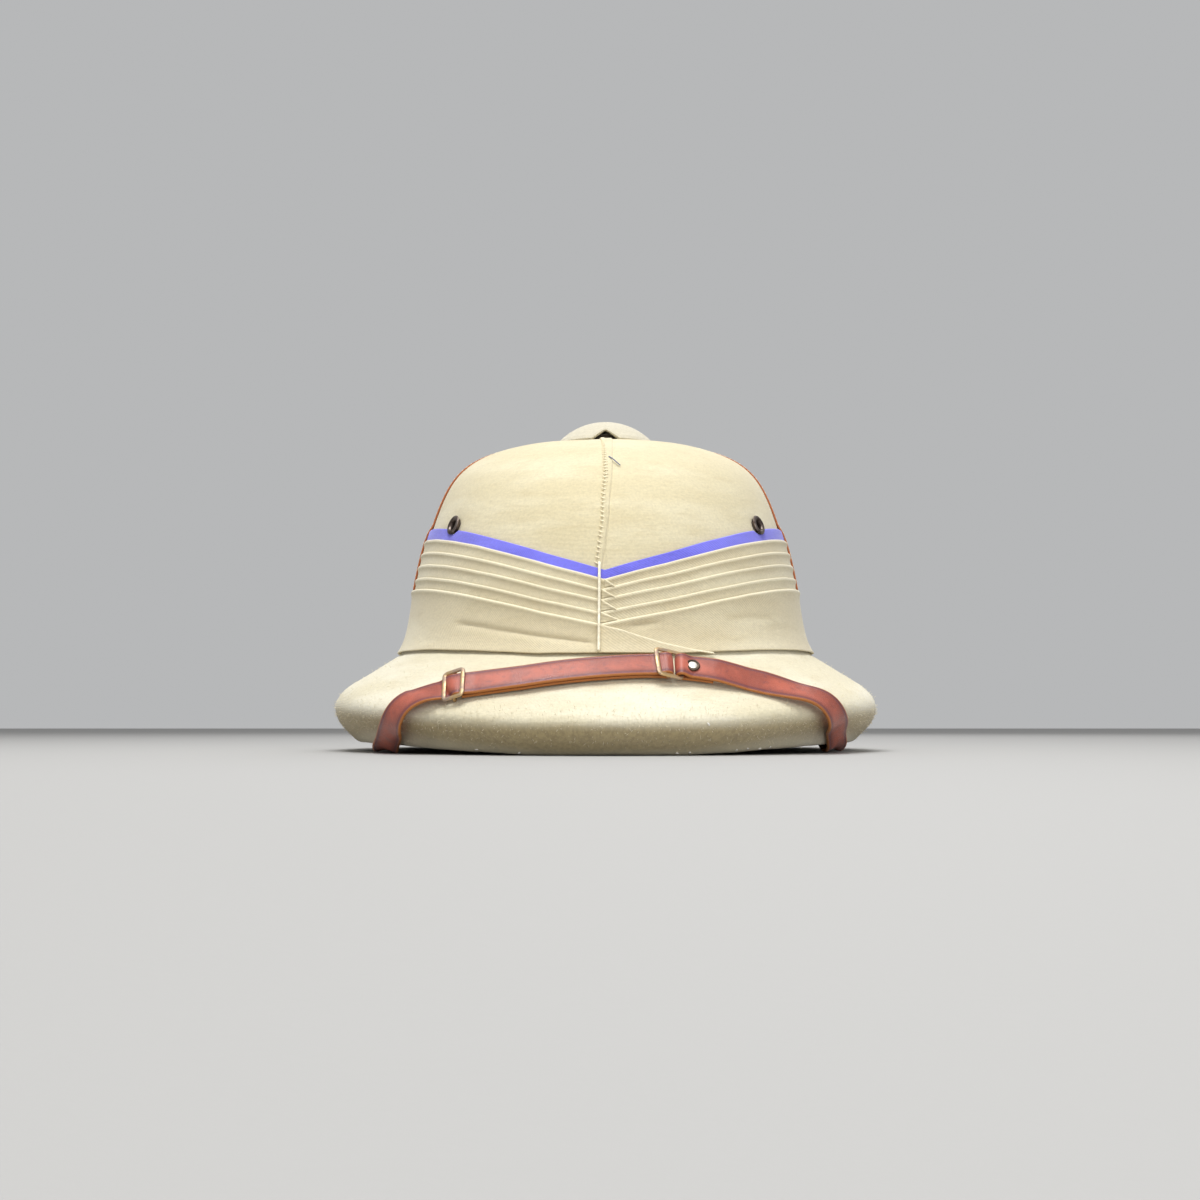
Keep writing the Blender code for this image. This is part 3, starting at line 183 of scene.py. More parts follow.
# Stray thread beside the front seam: (share, degrees) and (share, height) along it
THREAD_ANGLES = ((0.0, 0.35, 0.7, 1.0), (1.0, 2.2, 3.4, 4.7))
THREAD_HEIGHTS = ((0.0, 0.4, 1.0), (136.5, 134.8, 131.4))
THREAD_POINTS, THREAD_WIDTH, THREAD_LEVEL, THREAD_SWELL = 30, 0.5, 0.6, 1.0

# Studio: the floor, the lights by place, size and power, and the photo's camera
FLOOR_REACH, FLOOR_COLOUR = 4000.0, (168, 167, 165)
SKY_COLOUR, SKY_STRENGTH = (0.86, 0.87, 0.88, 1.0), 0.55
LIGHTS = {
    "overhead": ((-120.0, -380.0, 1150.0), 700.0, 14.0),
    "front": ((350.0, -1100.0, 420.0), 600.0, 4.0),
    "behind": ((200.0, 900.0, 900.0), 800.0, 5.0),
}
LIGHTS_TARGET = (0.0, 0.0, 70.0)
CAMERA_PLACE, CAMERA_TARGET, CAMERA_LENS = (-2.8, -850.0, 13.0), (-2.8, 0.0, 76.0), 50.19


# Making meshes

def whole_mesh(name, points, faces):
    """An object from points in millimetres and faces of four or three corners."""
    mesh = bpy.data.meshes.new(name)
    mesh.from_pydata((np.asarray(points).reshape(-1, 3) * MM).tolist(), [], faces)
    thing = bpy.data.objects.new(name, mesh)
    bpy.context.scene.collection.objects.link(thing)
    return thing


def piece(thing, finish, slot, *nodes):
    """Give a piece its finish, its place on the helmet and the node it replaces. The slot is not used."""
    thing.data.materials.append(finish)
    thing.data.shade_smooth()
    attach(thing, "root")
    if nodes:
        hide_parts(*nodes)
    return thing


def surface(name, points, u, v, closed_rows=False, closed_columns=True, capped=False):
    """Skin a grid of points, rows x columns x 3, and lay a flat map over it.

    Face (r, c) joins points (r, c), (r, c+1), (r+1, c+1) and (r+1, c). Its corners take
    the map (u, v) in metres from two grids with one more row or column where the skin
    closes on itself. Caps close the first and last rows with one face each.
    """
    rows, columns = points.shape[:2]
    row = np.arange(rows if closed_rows else rows - 1)
    column = np.arange(columns if closed_columns else columns - 1)
    row, column = (grid.ravel() for grid in np.meshgrid(row, column, indexing="ij"))
    corner_row = np.stack([row, row, row + 1, row + 1], axis=1)
    corner_column = np.stack([column, column + 1, column + 1, column], axis=1)
    index = (corner_row % rows) * columns + corner_column % columns
    faces = index.tolist()
    if capped:
        faces.append(list(range(columns)))
        faces.append(list(range((rows - 1) * columns, rows * columns))[::-1])
    thing = whole_mesh(name, points, faces)
    flat = thing.data.uv_layers.new(name="flat")
    grid_u = np.broadcast_to(u, (rows + 1, columns + 1))[corner_row, corner_column].ravel()
    grid_v = np.broadcast_to(v, (rows + 1, columns + 1))[corner_row, corner_column].ravel()
    values = np.zeros((len(flat.data), 2))
    values[:len(grid_u), 0] = grid_u * MM
    values[:len(grid_v), 1] = grid_v * MM
    flat.data.foreach_set("uv", values.ravel())
    face_outwards(thing)
    return thing


def face_outwards(thing):
    """Merge points that meet, drop empty faces and turn the faces outwards."""
    shape = bmesh.new()
    shape.from_mesh(thing.data)
    bmesh.ops.remove_doubles(shape, verts=shape.verts[:], dist=1e-6)
    bmesh.ops.dissolve_degenerate(shape, edges=shape.edges[:], dist=1e-7)
    bmesh.ops.recalc_face_normals(shape, faces=shape.faces[:])
    if shape.calc_volume(signed=True) < 0.0:
        bmesh.ops.reverse_faces(shape, faces=shape.faces[:])
    shape.to_mesh(thing.data)
    shape.free()


def mark(thing, name, values):
    """Store one number per point of a mesh, for its finish to read."""
    layer = thing.data.attributes.new(name, "FLOAT", "POINT")
    layer.data.foreach_set("value", np.asarray(values, dtype=np.float32).ravel())


def coordinates(thing):
    """The points of a mesh in millimetres."""
    values = np.empty(len(thing.data.vertices) * 3)
    thing.data.vertices.foreach_get("co", values)
    return values.reshape(-1, 3) / MM


def running_length(points, axis=0):
    """Length along a grid's rows or columns: the running sum of its steps."""
    steps = np.linalg.norm(np.diff(points, axis=axis), axis=-1)
    start = np.zeros_like(np.take(steps, [0], axis=axis))
    return np.concatenate([start, np.cumsum(steps, axis=axis)], axis=axis)


def unit(vectors):
    """Vectors of length one."""
    return vectors / np.linalg.norm(vectors, axis=-1, keepdims=True)


def dot(first, second):
    """Products of rows of vectors, kept as a column."""
    return np.sum(first * second, axis=-1, keepdims=True)


def from_front(angle):
    """The same angle between -pi and pi."""
    return (angle + pi) % (2.0 * pi) - pi


def one_more(grid, rows="edge", columns="edge"):
    """A grid with one more row and column: its last ones again, or with wrap its first."""
    grid = np.pad(grid, ((0, 1), (0, 0)), mode=rows)
    return np.pad(grid, ((0, 0), (0, 1)), mode=columns)


def read_rows(at, length, rows):
    """Rows of numbers read off between their lengths."""
    return np.stack([np.interp(at, length, column) for column in rows.T], axis=1)


def running_mean(values, reach):
    """Mean of each value and its neighbours up to reach away, with the ends repeated."""
    padded = np.pad(values, reach, mode="edge")
    return np.convolve(padded, np.full(2 * reach + 1, 1.0 / (2 * reach + 1)), mode="valid")


def eased(values, steps):
    """A running mean over a number of steps, with the ends held."""
    mean = running_mean(values, steps)
    mean[0], mean[-1] = values[0], values[-1]
    return mean


def filled(wave, power):
    """A cosine or sine that swells an oval's section: sign(w) |w|^p."""
    return np.sign(wave) * np.abs(wave) ** power


def circle(axis, sides):
    """Directions square to an axis, evenly round it."""
    axis = Vector(axis).normalized()
    first = axis.orthogonal().normalized()
    second = axis.cross(first)
    turn = np.arange(sides) * 2.0 * pi / sides
    return np.cos(turn)[:, None] * np.array(first) + np.sin(turn)[:, None] * np.array(second)


def smooth_step(value, start, end):
    """3 t^2 - 2 t^3 as the value goes from start to end, held at 0 and 1 outside."""
    t = np.clip((value - start) / (end - start), 0.0, 1.0)
    return t * t * (3.0 - 2.0 * t)


def ripple(points, wavelength, seed, count=9):
    """Smooth unevenness from -1 to 1: a mean of sines along seeded directions."""
    draw = np.random.default_rng(seed)
    directions = unit(draw.normal(size=(count, 3))) * 2.0 * pi / wavelength
    directions *= draw.uniform(0.6, 1.5, size=(count, 1))
    phases = draw.uniform(0.0, 2.0 * pi, size=count)
    return np.sin(points @ directions.T + phases).sum(axis=-1) / sqrt(count) / 2.0


def capsule(sides=6, rings=5):
    """A rounded pill along X, one long and one across, as points and faces."""
    turn = np.linspace(0.0, pi, rings + 2)[1:-1]
    around_it = np.arange(sides) * 2.0 * pi / sides
    x = np.repeat(-np.cos(turn) ** 3 * 0.3 - np.cos(turn) * 0.2, sides)
    radius = 0.5 * np.repeat(np.sin(turn) ** 0.6, sides)
    points = np.stack([x, radius * np.tile(np.cos(around_it), rings),
                       radius * np.tile(np.sin(around_it), rings)], axis=1)
    points = np.vstack([points, [(-0.5, 0.0, 0.0), (0.5, 0.0, 0.0)]])
    side = np.arange(sides)
    beside = (side + 1) % sides
    faces = [[r * sides + a, r * sides + b, (r + 1) * sides + b, (r + 1) * sides + a]
             for r in range(rings - 1) for a, b in zip(side, beside)]
    tip = len(points)
    faces += [[b, a, tip - 2] for a, b in zip(side, beside)]
    last = (rings - 1) * sides
    faces += [[last + a, last + b, tip - 1] for a, b in zip(side, beside)]
    return points, faces


def copies(name, shape, places, along, out, lengths, widths, heights):
    """One mesh of a small shape set at many places.

    Each copy's X follows the direction along, its Z the direction out, and its size is
    length x width x height.
    """
    points, faces = shape
    along = unit(np.asarray(along, dtype=float))
    across = unit(np.cross(out, along))
    out = np.cross(along, across)
    sizes = np.stack([np.broadcast_to(s, len(places)) for s in (lengths, widths, heights)], axis=1)
    axes = np.stack([along, across, out], axis=1) * sizes[:, :, None]
    all_points = places[:, None, :] + np.einsum("pk,mkj->mpj", points, axes)
    offsets = np.arange(len(places)) * len(points)
    all_faces = [[corner + offset for corner in face] for offset in offsets.tolist() for face in faces]
    thing = whole_mesh(name, all_points, all_faces)
    face_outwards(thing)
    return thing


def lathe(name, profile, place, axis, sides=48, rounding=3):
    """Turn a closed profile of (radius, height) corners about an axis through a place.

    The profile's corners are rounded by cutting them, which is repeated.
    """
    line = np.asarray(profile, dtype=float)
    for _ in range(rounding):
        beside = np.roll(line, -1, axis=0)
        line = np.stack([0.8 * line + 0.2 * beside, 0.2 * line + 0.8 * beside], axis=1).reshape(-1, 2)
    points = place + line[:, None, :1] * circle(axis, sides) + line[:, None, 1:] * unit(axis)
    u = 2.0 * pi * np.arange(sides + 1) / sides * line[:, 0].mean()
    v = np.arange(len(line) + 1.0)[:, None] * 0.3
    return surface(name, points, u, v, closed_rows=True)


# Finishes

def linear(*colours):
    """Screen colours of red, green and blue from 0 to 255 as light."""
    share = np.array(colours) / 255.0
    light = np.where(share <= 0.04045, share / 12.92, ((share + 0.055) / 1.055) ** 2.4)
    return [(*row, 1.0) for row in light.tolist()]


class Finish:
    """A material and the nodes that work out its colour, roughness and bump."""

    def __init__(self, name, **constants):
        self.material = bpy.data.materials.new(name)
        self.material.use_nodes = True
        self.nodes = self.material.node_tree.nodes
        self.links = self.material.node_tree.links
        self.shader = self.nodes["Principled BSDF"]
        for socket, value in constants.items():
            self.shader.inputs[socket.replace("_", " ")].default_value = value
        self.place = self.node("TexCoord").outputs["Object"]
        flat = self.node("UVMap")
        flat.uv_map = "flat"
        self.flat = flat.outputs["UV"]

    def node(self, kind, inputs=None, **settings):
        """A shader node with its settings, and inputs that are values or sockets."""
        made = self.nodes.new("ShaderNode" + kind)
        for name, value in settings.items():
            setattr(made, name, value)
        for name, value in (inputs or {}).items():
            self.feed(made.inputs[name], value)
        return made

    def feed(self, socket, value):
        """Link a socket or set its value."""
        if isinstance(value, bpy.types.NodeSocket):
            self.links.new(value, socket)
        else:
            socket.default_value = value

    def noise(self, scale, detail=4.0, roughness=0.55, at=None):
        """Noise from 0 to 1, its scale in features per metre."""
        inputs = {"Vector": at or self.place, "Scale": scale, "Detail": detail, "Roughness": roughness}
        return self.node("TexNoise", inputs).outputs["Fac"]

    def bands(self, pitch, direction, wander):
        """Even bands at a pitch in millimetres on the flat map, from 0 to 1."""
        per_metre = 2.0 * pi / (20.0 * pitch * MM)
        if direction == "DIAGONAL":
            per_metre *= sqrt(2.0)
        inputs = {"Vector": self.flat, "Scale": per_metre, "Distortion": wander, "Detail": 1.0,
                  "Detail Scale": 1.5}
        return self.node("TexWave", inputs, bands_direction=direction).outputs["Fac"]

    def plus(self, first, second):
        """Sum of two values."""
        return self.node("Math", {0: first, 1: second}, operation="ADD").outputs[0]

    def times(self, first, second):
        """Product of two values."""
        return self.node("Math", {0: first, 1: second}, operation="MULTIPLY").outputs[0]

    def stretched(self, height):
        """The object's coordinates with their height scaled."""
        return self.node("Mapping", {"Vector": self.place, "Scale": (1.0, 1.0, height)}).outputs["Vector"]

    def between(self, value, low, high, to_low=0.0, to_high=1.0):
        """The value from low to high, as a smooth share from to_low to to_high."""
        inputs = {"Value": value, "From Min": low, "From Max": high, "To Min": to_low, "To Max": to_high}
        return self.node("MapRange", inputs, interpolation_type="SMOOTHSTEP").outputs["Result"]

    def mix(self, share, first, second, blend="MIX"):
        """One colour over another."""
        inputs = {0: share, 6: first, 7: second}
        return self.node("Mix", inputs, data_type="RGBA", blend_type=blend).outputs[2]

    def marked(self, name):
        """A number stored on the mesh."""
        return self.node("Attribute", attribute_name=name).outputs["Fac"]

    def finish(self, colour, roughness, height, depth, normal_strength=1.0):
        """Join colour, roughness and bump to the shader. Depth is in millimetres."""
        self.feed(self.shader.inputs["Base Color"], colour)
        self.feed(self.shader.inputs["Roughness"], roughness)
        bump = self.node("Bump", {"Height": height, "Distance": depth * MM, "Strength": normal_strength})
        self.feed(self.shader.inputs["Normal"], bump.outputs["Normal"])
        return self.material


def cloth_finish(name, colours, weave, pitch, depth, grime, edge_dirt_wear_and_painted_light=None):
    """Woven cloth: threads, slubs, paler rubbed places and darker stains.

    Colours are the clean cloth, its pale rubbed places, and its stains. A marked edge has two
    colours of its own, and upright nap: on the brim a darker edge face, dirt and painted shade;
    on the wound folds a paler upper edge, wear and a painted highlight.
    """
    cloth = Finish(name, Sheen_Weight=0.25, Sheen_Roughness=0.6, Specular_IOR_Level=0.25)
    clean, rubbed, stained = linear(*colours)
    across = cloth.bands(pitch, "X", 0.5)
    along = cloth.bands(pitch, "Y", 0.5)
    if weave == "twill":
        lines = cloth.bands(pitch * 1.6, "DIAGONAL", 0.6)
        threads = cloth.plus(cloth.times(lines, 0.7), cloth.times(across, 0.3))
    else:
        threads = cloth.plus(cloth.times(across, 0.5), cloth.times(along, 0.5))
    slub = cloth.noise(900.0, 3.0)
    drawn = cloth.stretched(5.0)
    patches = cloth.noise(14.0, 5.0, 0.5, drawn)
    small = cloth.noise(60.0, 6.0, 0.6, drawn)
    colour = cloth.mix(cloth.between(patches, 0.42, 0.66), clean, rubbed)
    colour = cloth.mix(cloth.times(cloth.between(small, 0.5, 0.75), grime), colour, stained)
    grain = cloth.noise(330.0, 5.0, 0.75, drawn)
    shade = cloth.plus(cloth.times(threads, 0.12), cloth.times(slub, 0.3))
    shade = cloth.plus(cloth.plus(shade, cloth.times(grain, 0.34)), 0.62)
    grey = cloth.node("CombineColor", {0: shade, 1: shade, 2: shade}).outputs[0]
    colour = cloth.mix(1.0, colour, grey, "MULTIPLY")
    height = cloth.plus(threads, cloth.times(slub, 0.8))
    # Marked edges: dirt and painted shade on the brim's edge face, wear and a painted highlight on the
    # folds' upper edges
    if edge_dirt_wear_and_painted_light:
        nap = cloth.noise(640.0, 4.0, 0.7, cloth.stretched(0.3))
        edge_dirt_wear_and_light_colour = cloth.mix(cloth.between(nap, 0.35, 0.65), *linear(*edge_dirt_wear_and_painted_light))
        colour = cloth.mix(cloth.marked("edge"), colour, edge_dirt_wear_and_light_colour)
        height = cloth.plus(height, cloth.times(cloth.times(nap, cloth.marked("edge")), 2.5))
    return cloth.finish(colour, 0.92, height, depth)


def leather_finish(name, colours, roughness):
    """Old leather: grain, worn middle, dark cracks, painted sheen and shade along the creased grooves, and a
    raw edge of its own colour.

    Colours are the face, its worn middle, a darker purplish tone for the cracks and for the painted sheen
    and shade beside the creases, and the edge.
    """
    leather = Finish(name, Specular_IOR_Level=0.45, Coat_Weight=0.18, Coat_Roughness=0.3)
    face, middle, dark, raw = linear(*colours)
    grain = leather.node("TexVoronoi", {"Vector": leather.place, "Scale": 1400.0, "Randomness": 1.0},
                         feature="DISTANCE_TO_EDGE").outputs["Distance"]
    pores = leather.between(grain, 0.0, 0.12)
    wear = leather.noise(60.0, 6.0, 0.65)
    cracks = leather.noise(420.0, 4.0, 0.7)
    worn = leather.times(leather.marked("middle"), leather.between(wear, 0.35, 0.62))
    colour = leather.mix(worn, face, middle)
    # Painted sheen and shade along the creases; the cracks take the same darker tone
    colour = leather.mix(leather.marked("crease"), colour, dark)
    colour = leather.mix(leather.times(leather.between(cracks, 0.52, 0.7), 0.45), colour, dark)
    colour = leather.mix(leather.marked("edge"), colour, raw)
    rough = leather.between(wear, 0.3, 0.7, roughness - 0.08, roughness + 0.12)
    height = leather.plus(leather.times(pores, 0.6), cracks)
    return leather.finish(colour, rough, height, 0.12)


def metal_finish(name, clean, dull, roughness, painted_highlight=None):
    """Old metal: dull patches over the clean metal and small pits.

    Places marked with a painted highlight take a near-white colour of their own.
    """
    metal = Finish(name, Metallic=1.0)
    patches = metal.noise(260.0, 6.0, 0.6)
    pits = metal.noise(1500.0, 3.0, 0.6)
    colour = metal.mix(metal.between(patches, 0.42, 0.62), *linear(clean, dull))
    if painted_highlight:
        colour = metal.mix(metal.marked("painted_highlight"), colour, *linear(painted_highlight))
    rough = metal.between(patches, 0.35, 0.65, roughness, roughness + 0.25)
    return metal.finish(colour, rough, pits, 0.04, 0.5)


def thread_finish(name, colour, shade):
    """Twisted thread with a little colour change along it."""
    thread = Finish(name, Sheen_Weight=0.3)
    twist = thread.noise(1600.0, 2.0)
    mixed = thread.mix(twist, *linear(colour, shade))
    return thread.finish(mixed, 0.85, twist, 0.08)


CANVAS = cloth_finish("canvas", ((206, 194, 158), (215, 205, 173), (190, 173, 130)),
                      "plain", 0.62, 0.10, 0.3)
# A darker, greyer copy of the canvas for the vent cap: painted shade on the dome's steep sides
CAP_CANVAS_SHADED = cloth_finish("cap_canvas", ((196, 189, 168), (206, 200, 180), (178, 168, 140)),
                          "plain", 0.62, 0.10, 0.3)
# Brim canvas: a paler, greyer copy of the crown's canvas, painted light for the overhead lamp on the brim's
# top. Its two marked edge colours darken the edge face, dirt and painted shade
BRIM_CANVAS_DIRT_AND_PAINTED_LIGHT = cloth_finish("brim_canvas", ((212, 203, 174), (224, 217, 194), (194, 177, 136)),
                           "plain", 0.62, 0.10, 0.3, ((138, 119, 74), (166, 146, 98)))
# Wound cloth: its paler marked edge colours stand for wear and a painted highlight on the folded edges
WOUND = cloth_finish("wound_cloth", ((204, 192, 160), (213, 203, 173), (182, 166, 126)),
                     "twill", 0.62, 0.08, 0.3, ((236, 226, 194), (244, 236, 208)))
TAPE = cloth_finish("tape_cloth", ((236, 228, 202), (244, 238, 216), (214, 200, 164)),
                    "twill", 0.6, 0.08, 0.3)
FLASH = cloth_finish("flash_cloth", ((106, 104, 214), (122, 121, 232), (90, 86, 186)),
                     "twill", 0.6, 0.08, 0.45)
# Near-black canvas for the vent collar: painted shade, the deep shadow seen through the cap's notches
COLLAR_PAINTED_SHADE = cloth_finish("collar_canvas", ((40, 32, 24), (52, 43, 32), (26, 21, 15)),
                           "plain", 0.7, 0.1, 0.5)
# Leather colours: face, worn middle, a darker purplish tone for cracks and for painted sheen and shade
# beside the creases, and the raw edge
STRAP = leather_finish("strap_leather", ((152, 76, 60), (186, 97, 76), (110, 63, 68), (180, 110, 48)), 0.38)
STRIP = leather_finish("strip_leather", ((170, 100, 68), (196, 128, 94), (124, 70, 46), (176, 98, 52)), 0.55)
BRASS = metal_finish("brass", (206, 176, 130), (168, 148, 132), 0.38)
# Rivet: dark tarnished metal, with a near-white painted highlight at the head's centre
RIVET = metal_finish("rivet_brass", (92, 78, 66), (76, 66, 58), 0.4, (246, 242, 232))
DARK = metal_finish("dark_metal", (128, 116, 108), (84, 72, 66), 0.36)
SEAM_THREAD = thread_finish("seam_thread", (244, 234, 204), (222, 208, 170))
# Dark dots at the stitches' needle holes: painted shade in the holes
NEEDLE_HOLE_SHADE = thread_finish("needle_hole_shade", (116, 96, 66), (84, 68, 46))
STRAY_THREAD = thread_finish("stray_thread", (104, 112, 138), (78, 86, 114))
FUZZ = thread_finish("fuzz", (240, 232, 206), (222, 210, 176))
LINT = thread_finish("lint", (248, 246, 240), (226, 220, 208))


# The helmet's own surfaces, as the solids have them

def around(angle, half_width, half_length, height):
    """Point of an oval about the crown's axis: (a sin, -b cos) at a height."""
    return np.stack(np.broadcast_arrays(half_width * np.sin(angle), CROWN_Y - half_length * np.cos(angle),
                                        height), axis=-1)


def from_axis(points):
    """Distance of points from the crown's axis."""
    return np.hypot(points[..., 0], points[..., 1] - CROWN_Y)


def angle_of(points):
    """Angle of points about the crown's axis."""
    return np.arctan2(points[..., 0], CROWN_Y - points[..., 1])


def rim_lift(angle):
    """Height of the rim over the floor: arch (1 - c^4), c = |cos| / cos of the land."""
    return RIM_ARCH * (1.0 - np.minimum(1.0, np.abs(np.cos(angle)) / cos(LAND_ANGLE)) ** 4)


def ridge_height(angle):
    """Height of the brim's ridge over the floor: lift + s + (e - s) cos^2."""
    return rim_lift(angle) + RIDGE_RISE_SIDE + (RIDGE_RISE_END - RIDGE_RISE_SIDE) * np.cos(angle) ** 2


def crown_foot(angle):
    """Height at which the crown's wall meets the brim's upper face."""
    return BRIM_RISE + rim_lift(angle)


def crown_narrowing(share, power=SHOULDER_POWER):
    """Size of the crown over its size at the foot: (1 - d t^2)(1 - |t|^p)^r."""
    share = np.clip(share, -0.1, 1.0)
    return (1.0 - DRAW_IN * share ** 2) * (1.0 - np.abs(share) ** power) ** SHOULDER_ROOT


def crown_share(half_width):
    """Share of the crown's height where it has a half width, read back from its shape."""
    shares = 1.0 - np.linspace(1.0, 0.0, 8001) ** 2
    return np.interp(-np.asarray(half_width), -CROWN_WIDTH / 2.0 * crown_narrowing(shares), shares)


def crown_half_sizes(share, proud=0.0):
    """Half width and half length of the crown at a share of its height."""
    grow = CROWN_FLARE * np.exp(-share / FLARE_REACH) + proud
    half_width = CROWN_WIDTH / 2.0 * crown_narrowing(share) + grow
    return half_width, CROWN_LENGTH / 2.0 * crown_narrowing(share, END_SHOULDER_POWER) + grow


def on_crown(angle, share, proud=0.0):
    """Point on the crown's outside, or level with it but further out by proud."""
    foot = crown_foot(angle)
    return around(angle, *crown_half_sizes(share, proud), foot + share * (CROWN_TOP - foot))


def up_crown(angle, height, proud=0.0):
    """The same at a height over the crown's foot."""
    return on_crown(angle, height / (CROWN_TOP - crown_foot(angle)), proud)


def crown_normal(angle, share):
    """Outward unit normal of the crown, from two short steps on its surface."""
    step = 1e-4
    across = on_crown(angle + step, share) - on_crown(angle - step, share)
    up = on_crown(angle, share + step) - on_crown(angle, share - step)
    return unit(np.cross(across, up))


def crown_height_at(radius, angle):
    """Height of the crown's top at a radius from its axis.

    It lies between the last share whose oval reaches past the point and the next one.
    """
    shares = 1.0 - np.linspace(1.0, 0.0, 4001) ** 2
    half_width, half_length = (sizes[:, None] for sizes in crown_half_sizes(shares))
    turned = np.atleast_1d(angle)
    reach = np.hypot(radius * np.sin(turned) / half_width, radius * np.cos(turned) / half_length)
    last = np.sum(reach < 1.0, axis=0) - 1
    column = np.arange(len(turned))
    past = (1.0 - reach[last, column]) / (reach[last + 1, column] - reach[last, column])
    share = shares[last] + past * (shares[last + 1] - shares[last])
    foot = crown_foot(turned)
    return (foot + share * (CROWN_TOP - foot)).reshape(np.shape(angle))


def wound_line(layer, angle):
    """Height over the foot of a layer's upper edge.

    Its share of the crown's height falls from the side to the front's middle as
    (1 - |sin|)^power, and the middle lies a little beside the front, where folds cross.
    """
    row = WOUND_LINES[layer]
    turned = from_front(angle)
    shifted = turned - radians(row["centre"]) * np.exp(-(turned / radians(22.0)) ** 2)
    dip = np.where(np.cos(turned) > 0.0, (1.0 - np.abs(np.sin(shifted))) ** CROSSING_POWER, 0.0)
    share = row["side"] - (row["side"] - row["front"]) * dip
    return share * (CROWN_TOP - crown_foot(angle))


def section_radius(angle, half_sizes):
    """Distance from the crown's axis of an oval's point at an angle."""
    return np.hypot(half_sizes[0] * np.sin(angle), half_sizes[1] * np.cos(angle))


def ridge_shoulder(angle, ridge, end, back, fullness):
    """Corner that rounds the ridge towards one end of the faces that meet there."""
    run = section_radius(angle, end[0]) - section_radius(angle, ridge[0])
    rise = end[1] - ridge[1]
    size = np.hypot(run, rise)
    share = back / size
    outward = fullness * np.abs(rise) / size
    upward = fullness * -run / size * np.sign(rise)
    half_sizes = tuple(a + share * (b - a) + outward for a, b in zip(ridge[0], end[0]))
    return half_sizes, ridge[1] + share * rise + upward


def brim_corners(angle, proud=0.0, back=RIDGE_ROUND, fullness=RIDGE_FULLNESS):
    """Corners of the brim's section at each angle, pushed out of the brim by proud.

    They run from the head opening's upper edge over the seat, the crown's foot, the
    rounded ridge, the edge face, the rim's land and the underside, back to the first.
    The push is a mitre in the section's own plane.
    """
    angle = np.asarray(angle, dtype=float)
    level = np.zeros_like(angle)
    lift, foot = rim_lift(angle), crown_foot(angle)
    inner = (level + CROWN_WIDTH / 2.0 - CROWN_WALL, level + CROWN_LENGTH / 2.0 - CROWN_WALL)
    seat = crown_half_sizes(SEAT_RISE / (CROWN_TOP - foot))
    base = crown_half_sizes(level)
    ridge = (level + BRIM_WIDTH / 2.0, BRIM_LENGTH / 2.0 + np.where(np.cos(angle) > 0.0, CROWN_Y, -CROWN_Y))
    top = ridge_height(angle)
    low = (ridge[0] - EDGE_LEAN, ridge[1] - EDGE_LEAN)
    land = (low[0] - LAND_WIDTH, low[1] - LAND_WIDTH)
    slope = (foot - top) / (section_radius(angle, ridge) - section_radius(angle, base))
    under = lift + slope * (section_radius(angle, land) - section_radius(angle, inner))
    corners = [
        (inner, foot + SEAT_RISE), (seat, foot + SEAT_RISE), (base, foot),
        ridge_shoulder(angle, (ridge, top), (base, foot), back, fullness), (ridge, top),
        ridge_shoulder(angle, (ridge, top), (low, lift), back, fullness), (low, lift), (land, lift),
        (inner, under),
    ]
    widths = np.stack([corner[0][0] for corner in corners])
    lengths = np.stack([corner[0][1] for corner in corners])
    heights = np.stack([corner[1] for corner in corners])
    radii = np.hypot(widths * np.sin(angle), lengths * np.cos(angle))
    run, rise = np.roll(radii, -1, axis=0) - radii, np.roll(heights, -1, axis=0) - heights
    size = np.hypot(run, rise)
    out, up = -rise / size, run / size
    out_before, up_before = np.roll(out, 1, axis=0), np.roll(up, 1, axis=0)
    mitre = proud / (1.0 + out * out_before + up * up_before)
    shift = (out + out_before) * mitre
    return around(angle, widths + shift, lengths + shift, heights + (up + up_before) * mitre)


# Crown

def seam_columns():
    """Angles round the helmet, close together across the front and back seams."""
    close = np.radians(np.linspace(-SEAM_FINE, SEAM_FINE, 53))
    open_run = np.radians(np.linspace(SEAM_FINE, 180.0 - SEAM_FINE, 130))[1:-1]
    return np.concatenate([close, open_run, close + pi, open_run + pi])


def seam_middle(height):
    """Angle of the front seam's middle: it wanders as the crown's panels were sewn."""
    return np.radians(np.interp(height, (83.0, 104.0, 116.0, 126.0, 155.0), (-2.0, -0.2, 0.1, 0.8, 1.0)))


def seam_half_width(height):
    """Half the width of the lapped seam, narrower towards the wound cloth."""
    return np.interp(height, (83.0, 150.0), (1.35, 2.0))


def seam_lap(points, angle):
    """How proud the lapped seams stand: a flat ridge with soft sides.

    It fades towards the vent collar and below the flash's upper edge.
    """
    height, radius = points[..., 2], from_axis(points)
    front = np.cos(angle) > 0.0
    turned = np.where(front, from_front(angle), angle - pi)
    away = np.abs(turned - np.where(front, seam_middle(height), 0.0)) * radius
    half = seam_half_width(height)
    ridge = 1.0 - smooth_step(away, half - SEAM_SLOPE, half + SEAM_SLOPE)
    groove = np.exp(-((away - half - 0.5) / SEAM_GROOVE_WIDTH) ** 2)
    flash = wound_line("flash", angle) + crown_foot(angle)
    shown = smooth_step(height, flash + 0.5, flash + 2.5) * smooth_step(radius, 19.0, 23.0)
    return (SEAM_RISE * ridge - SEAM_GROOVE * groove) * shown


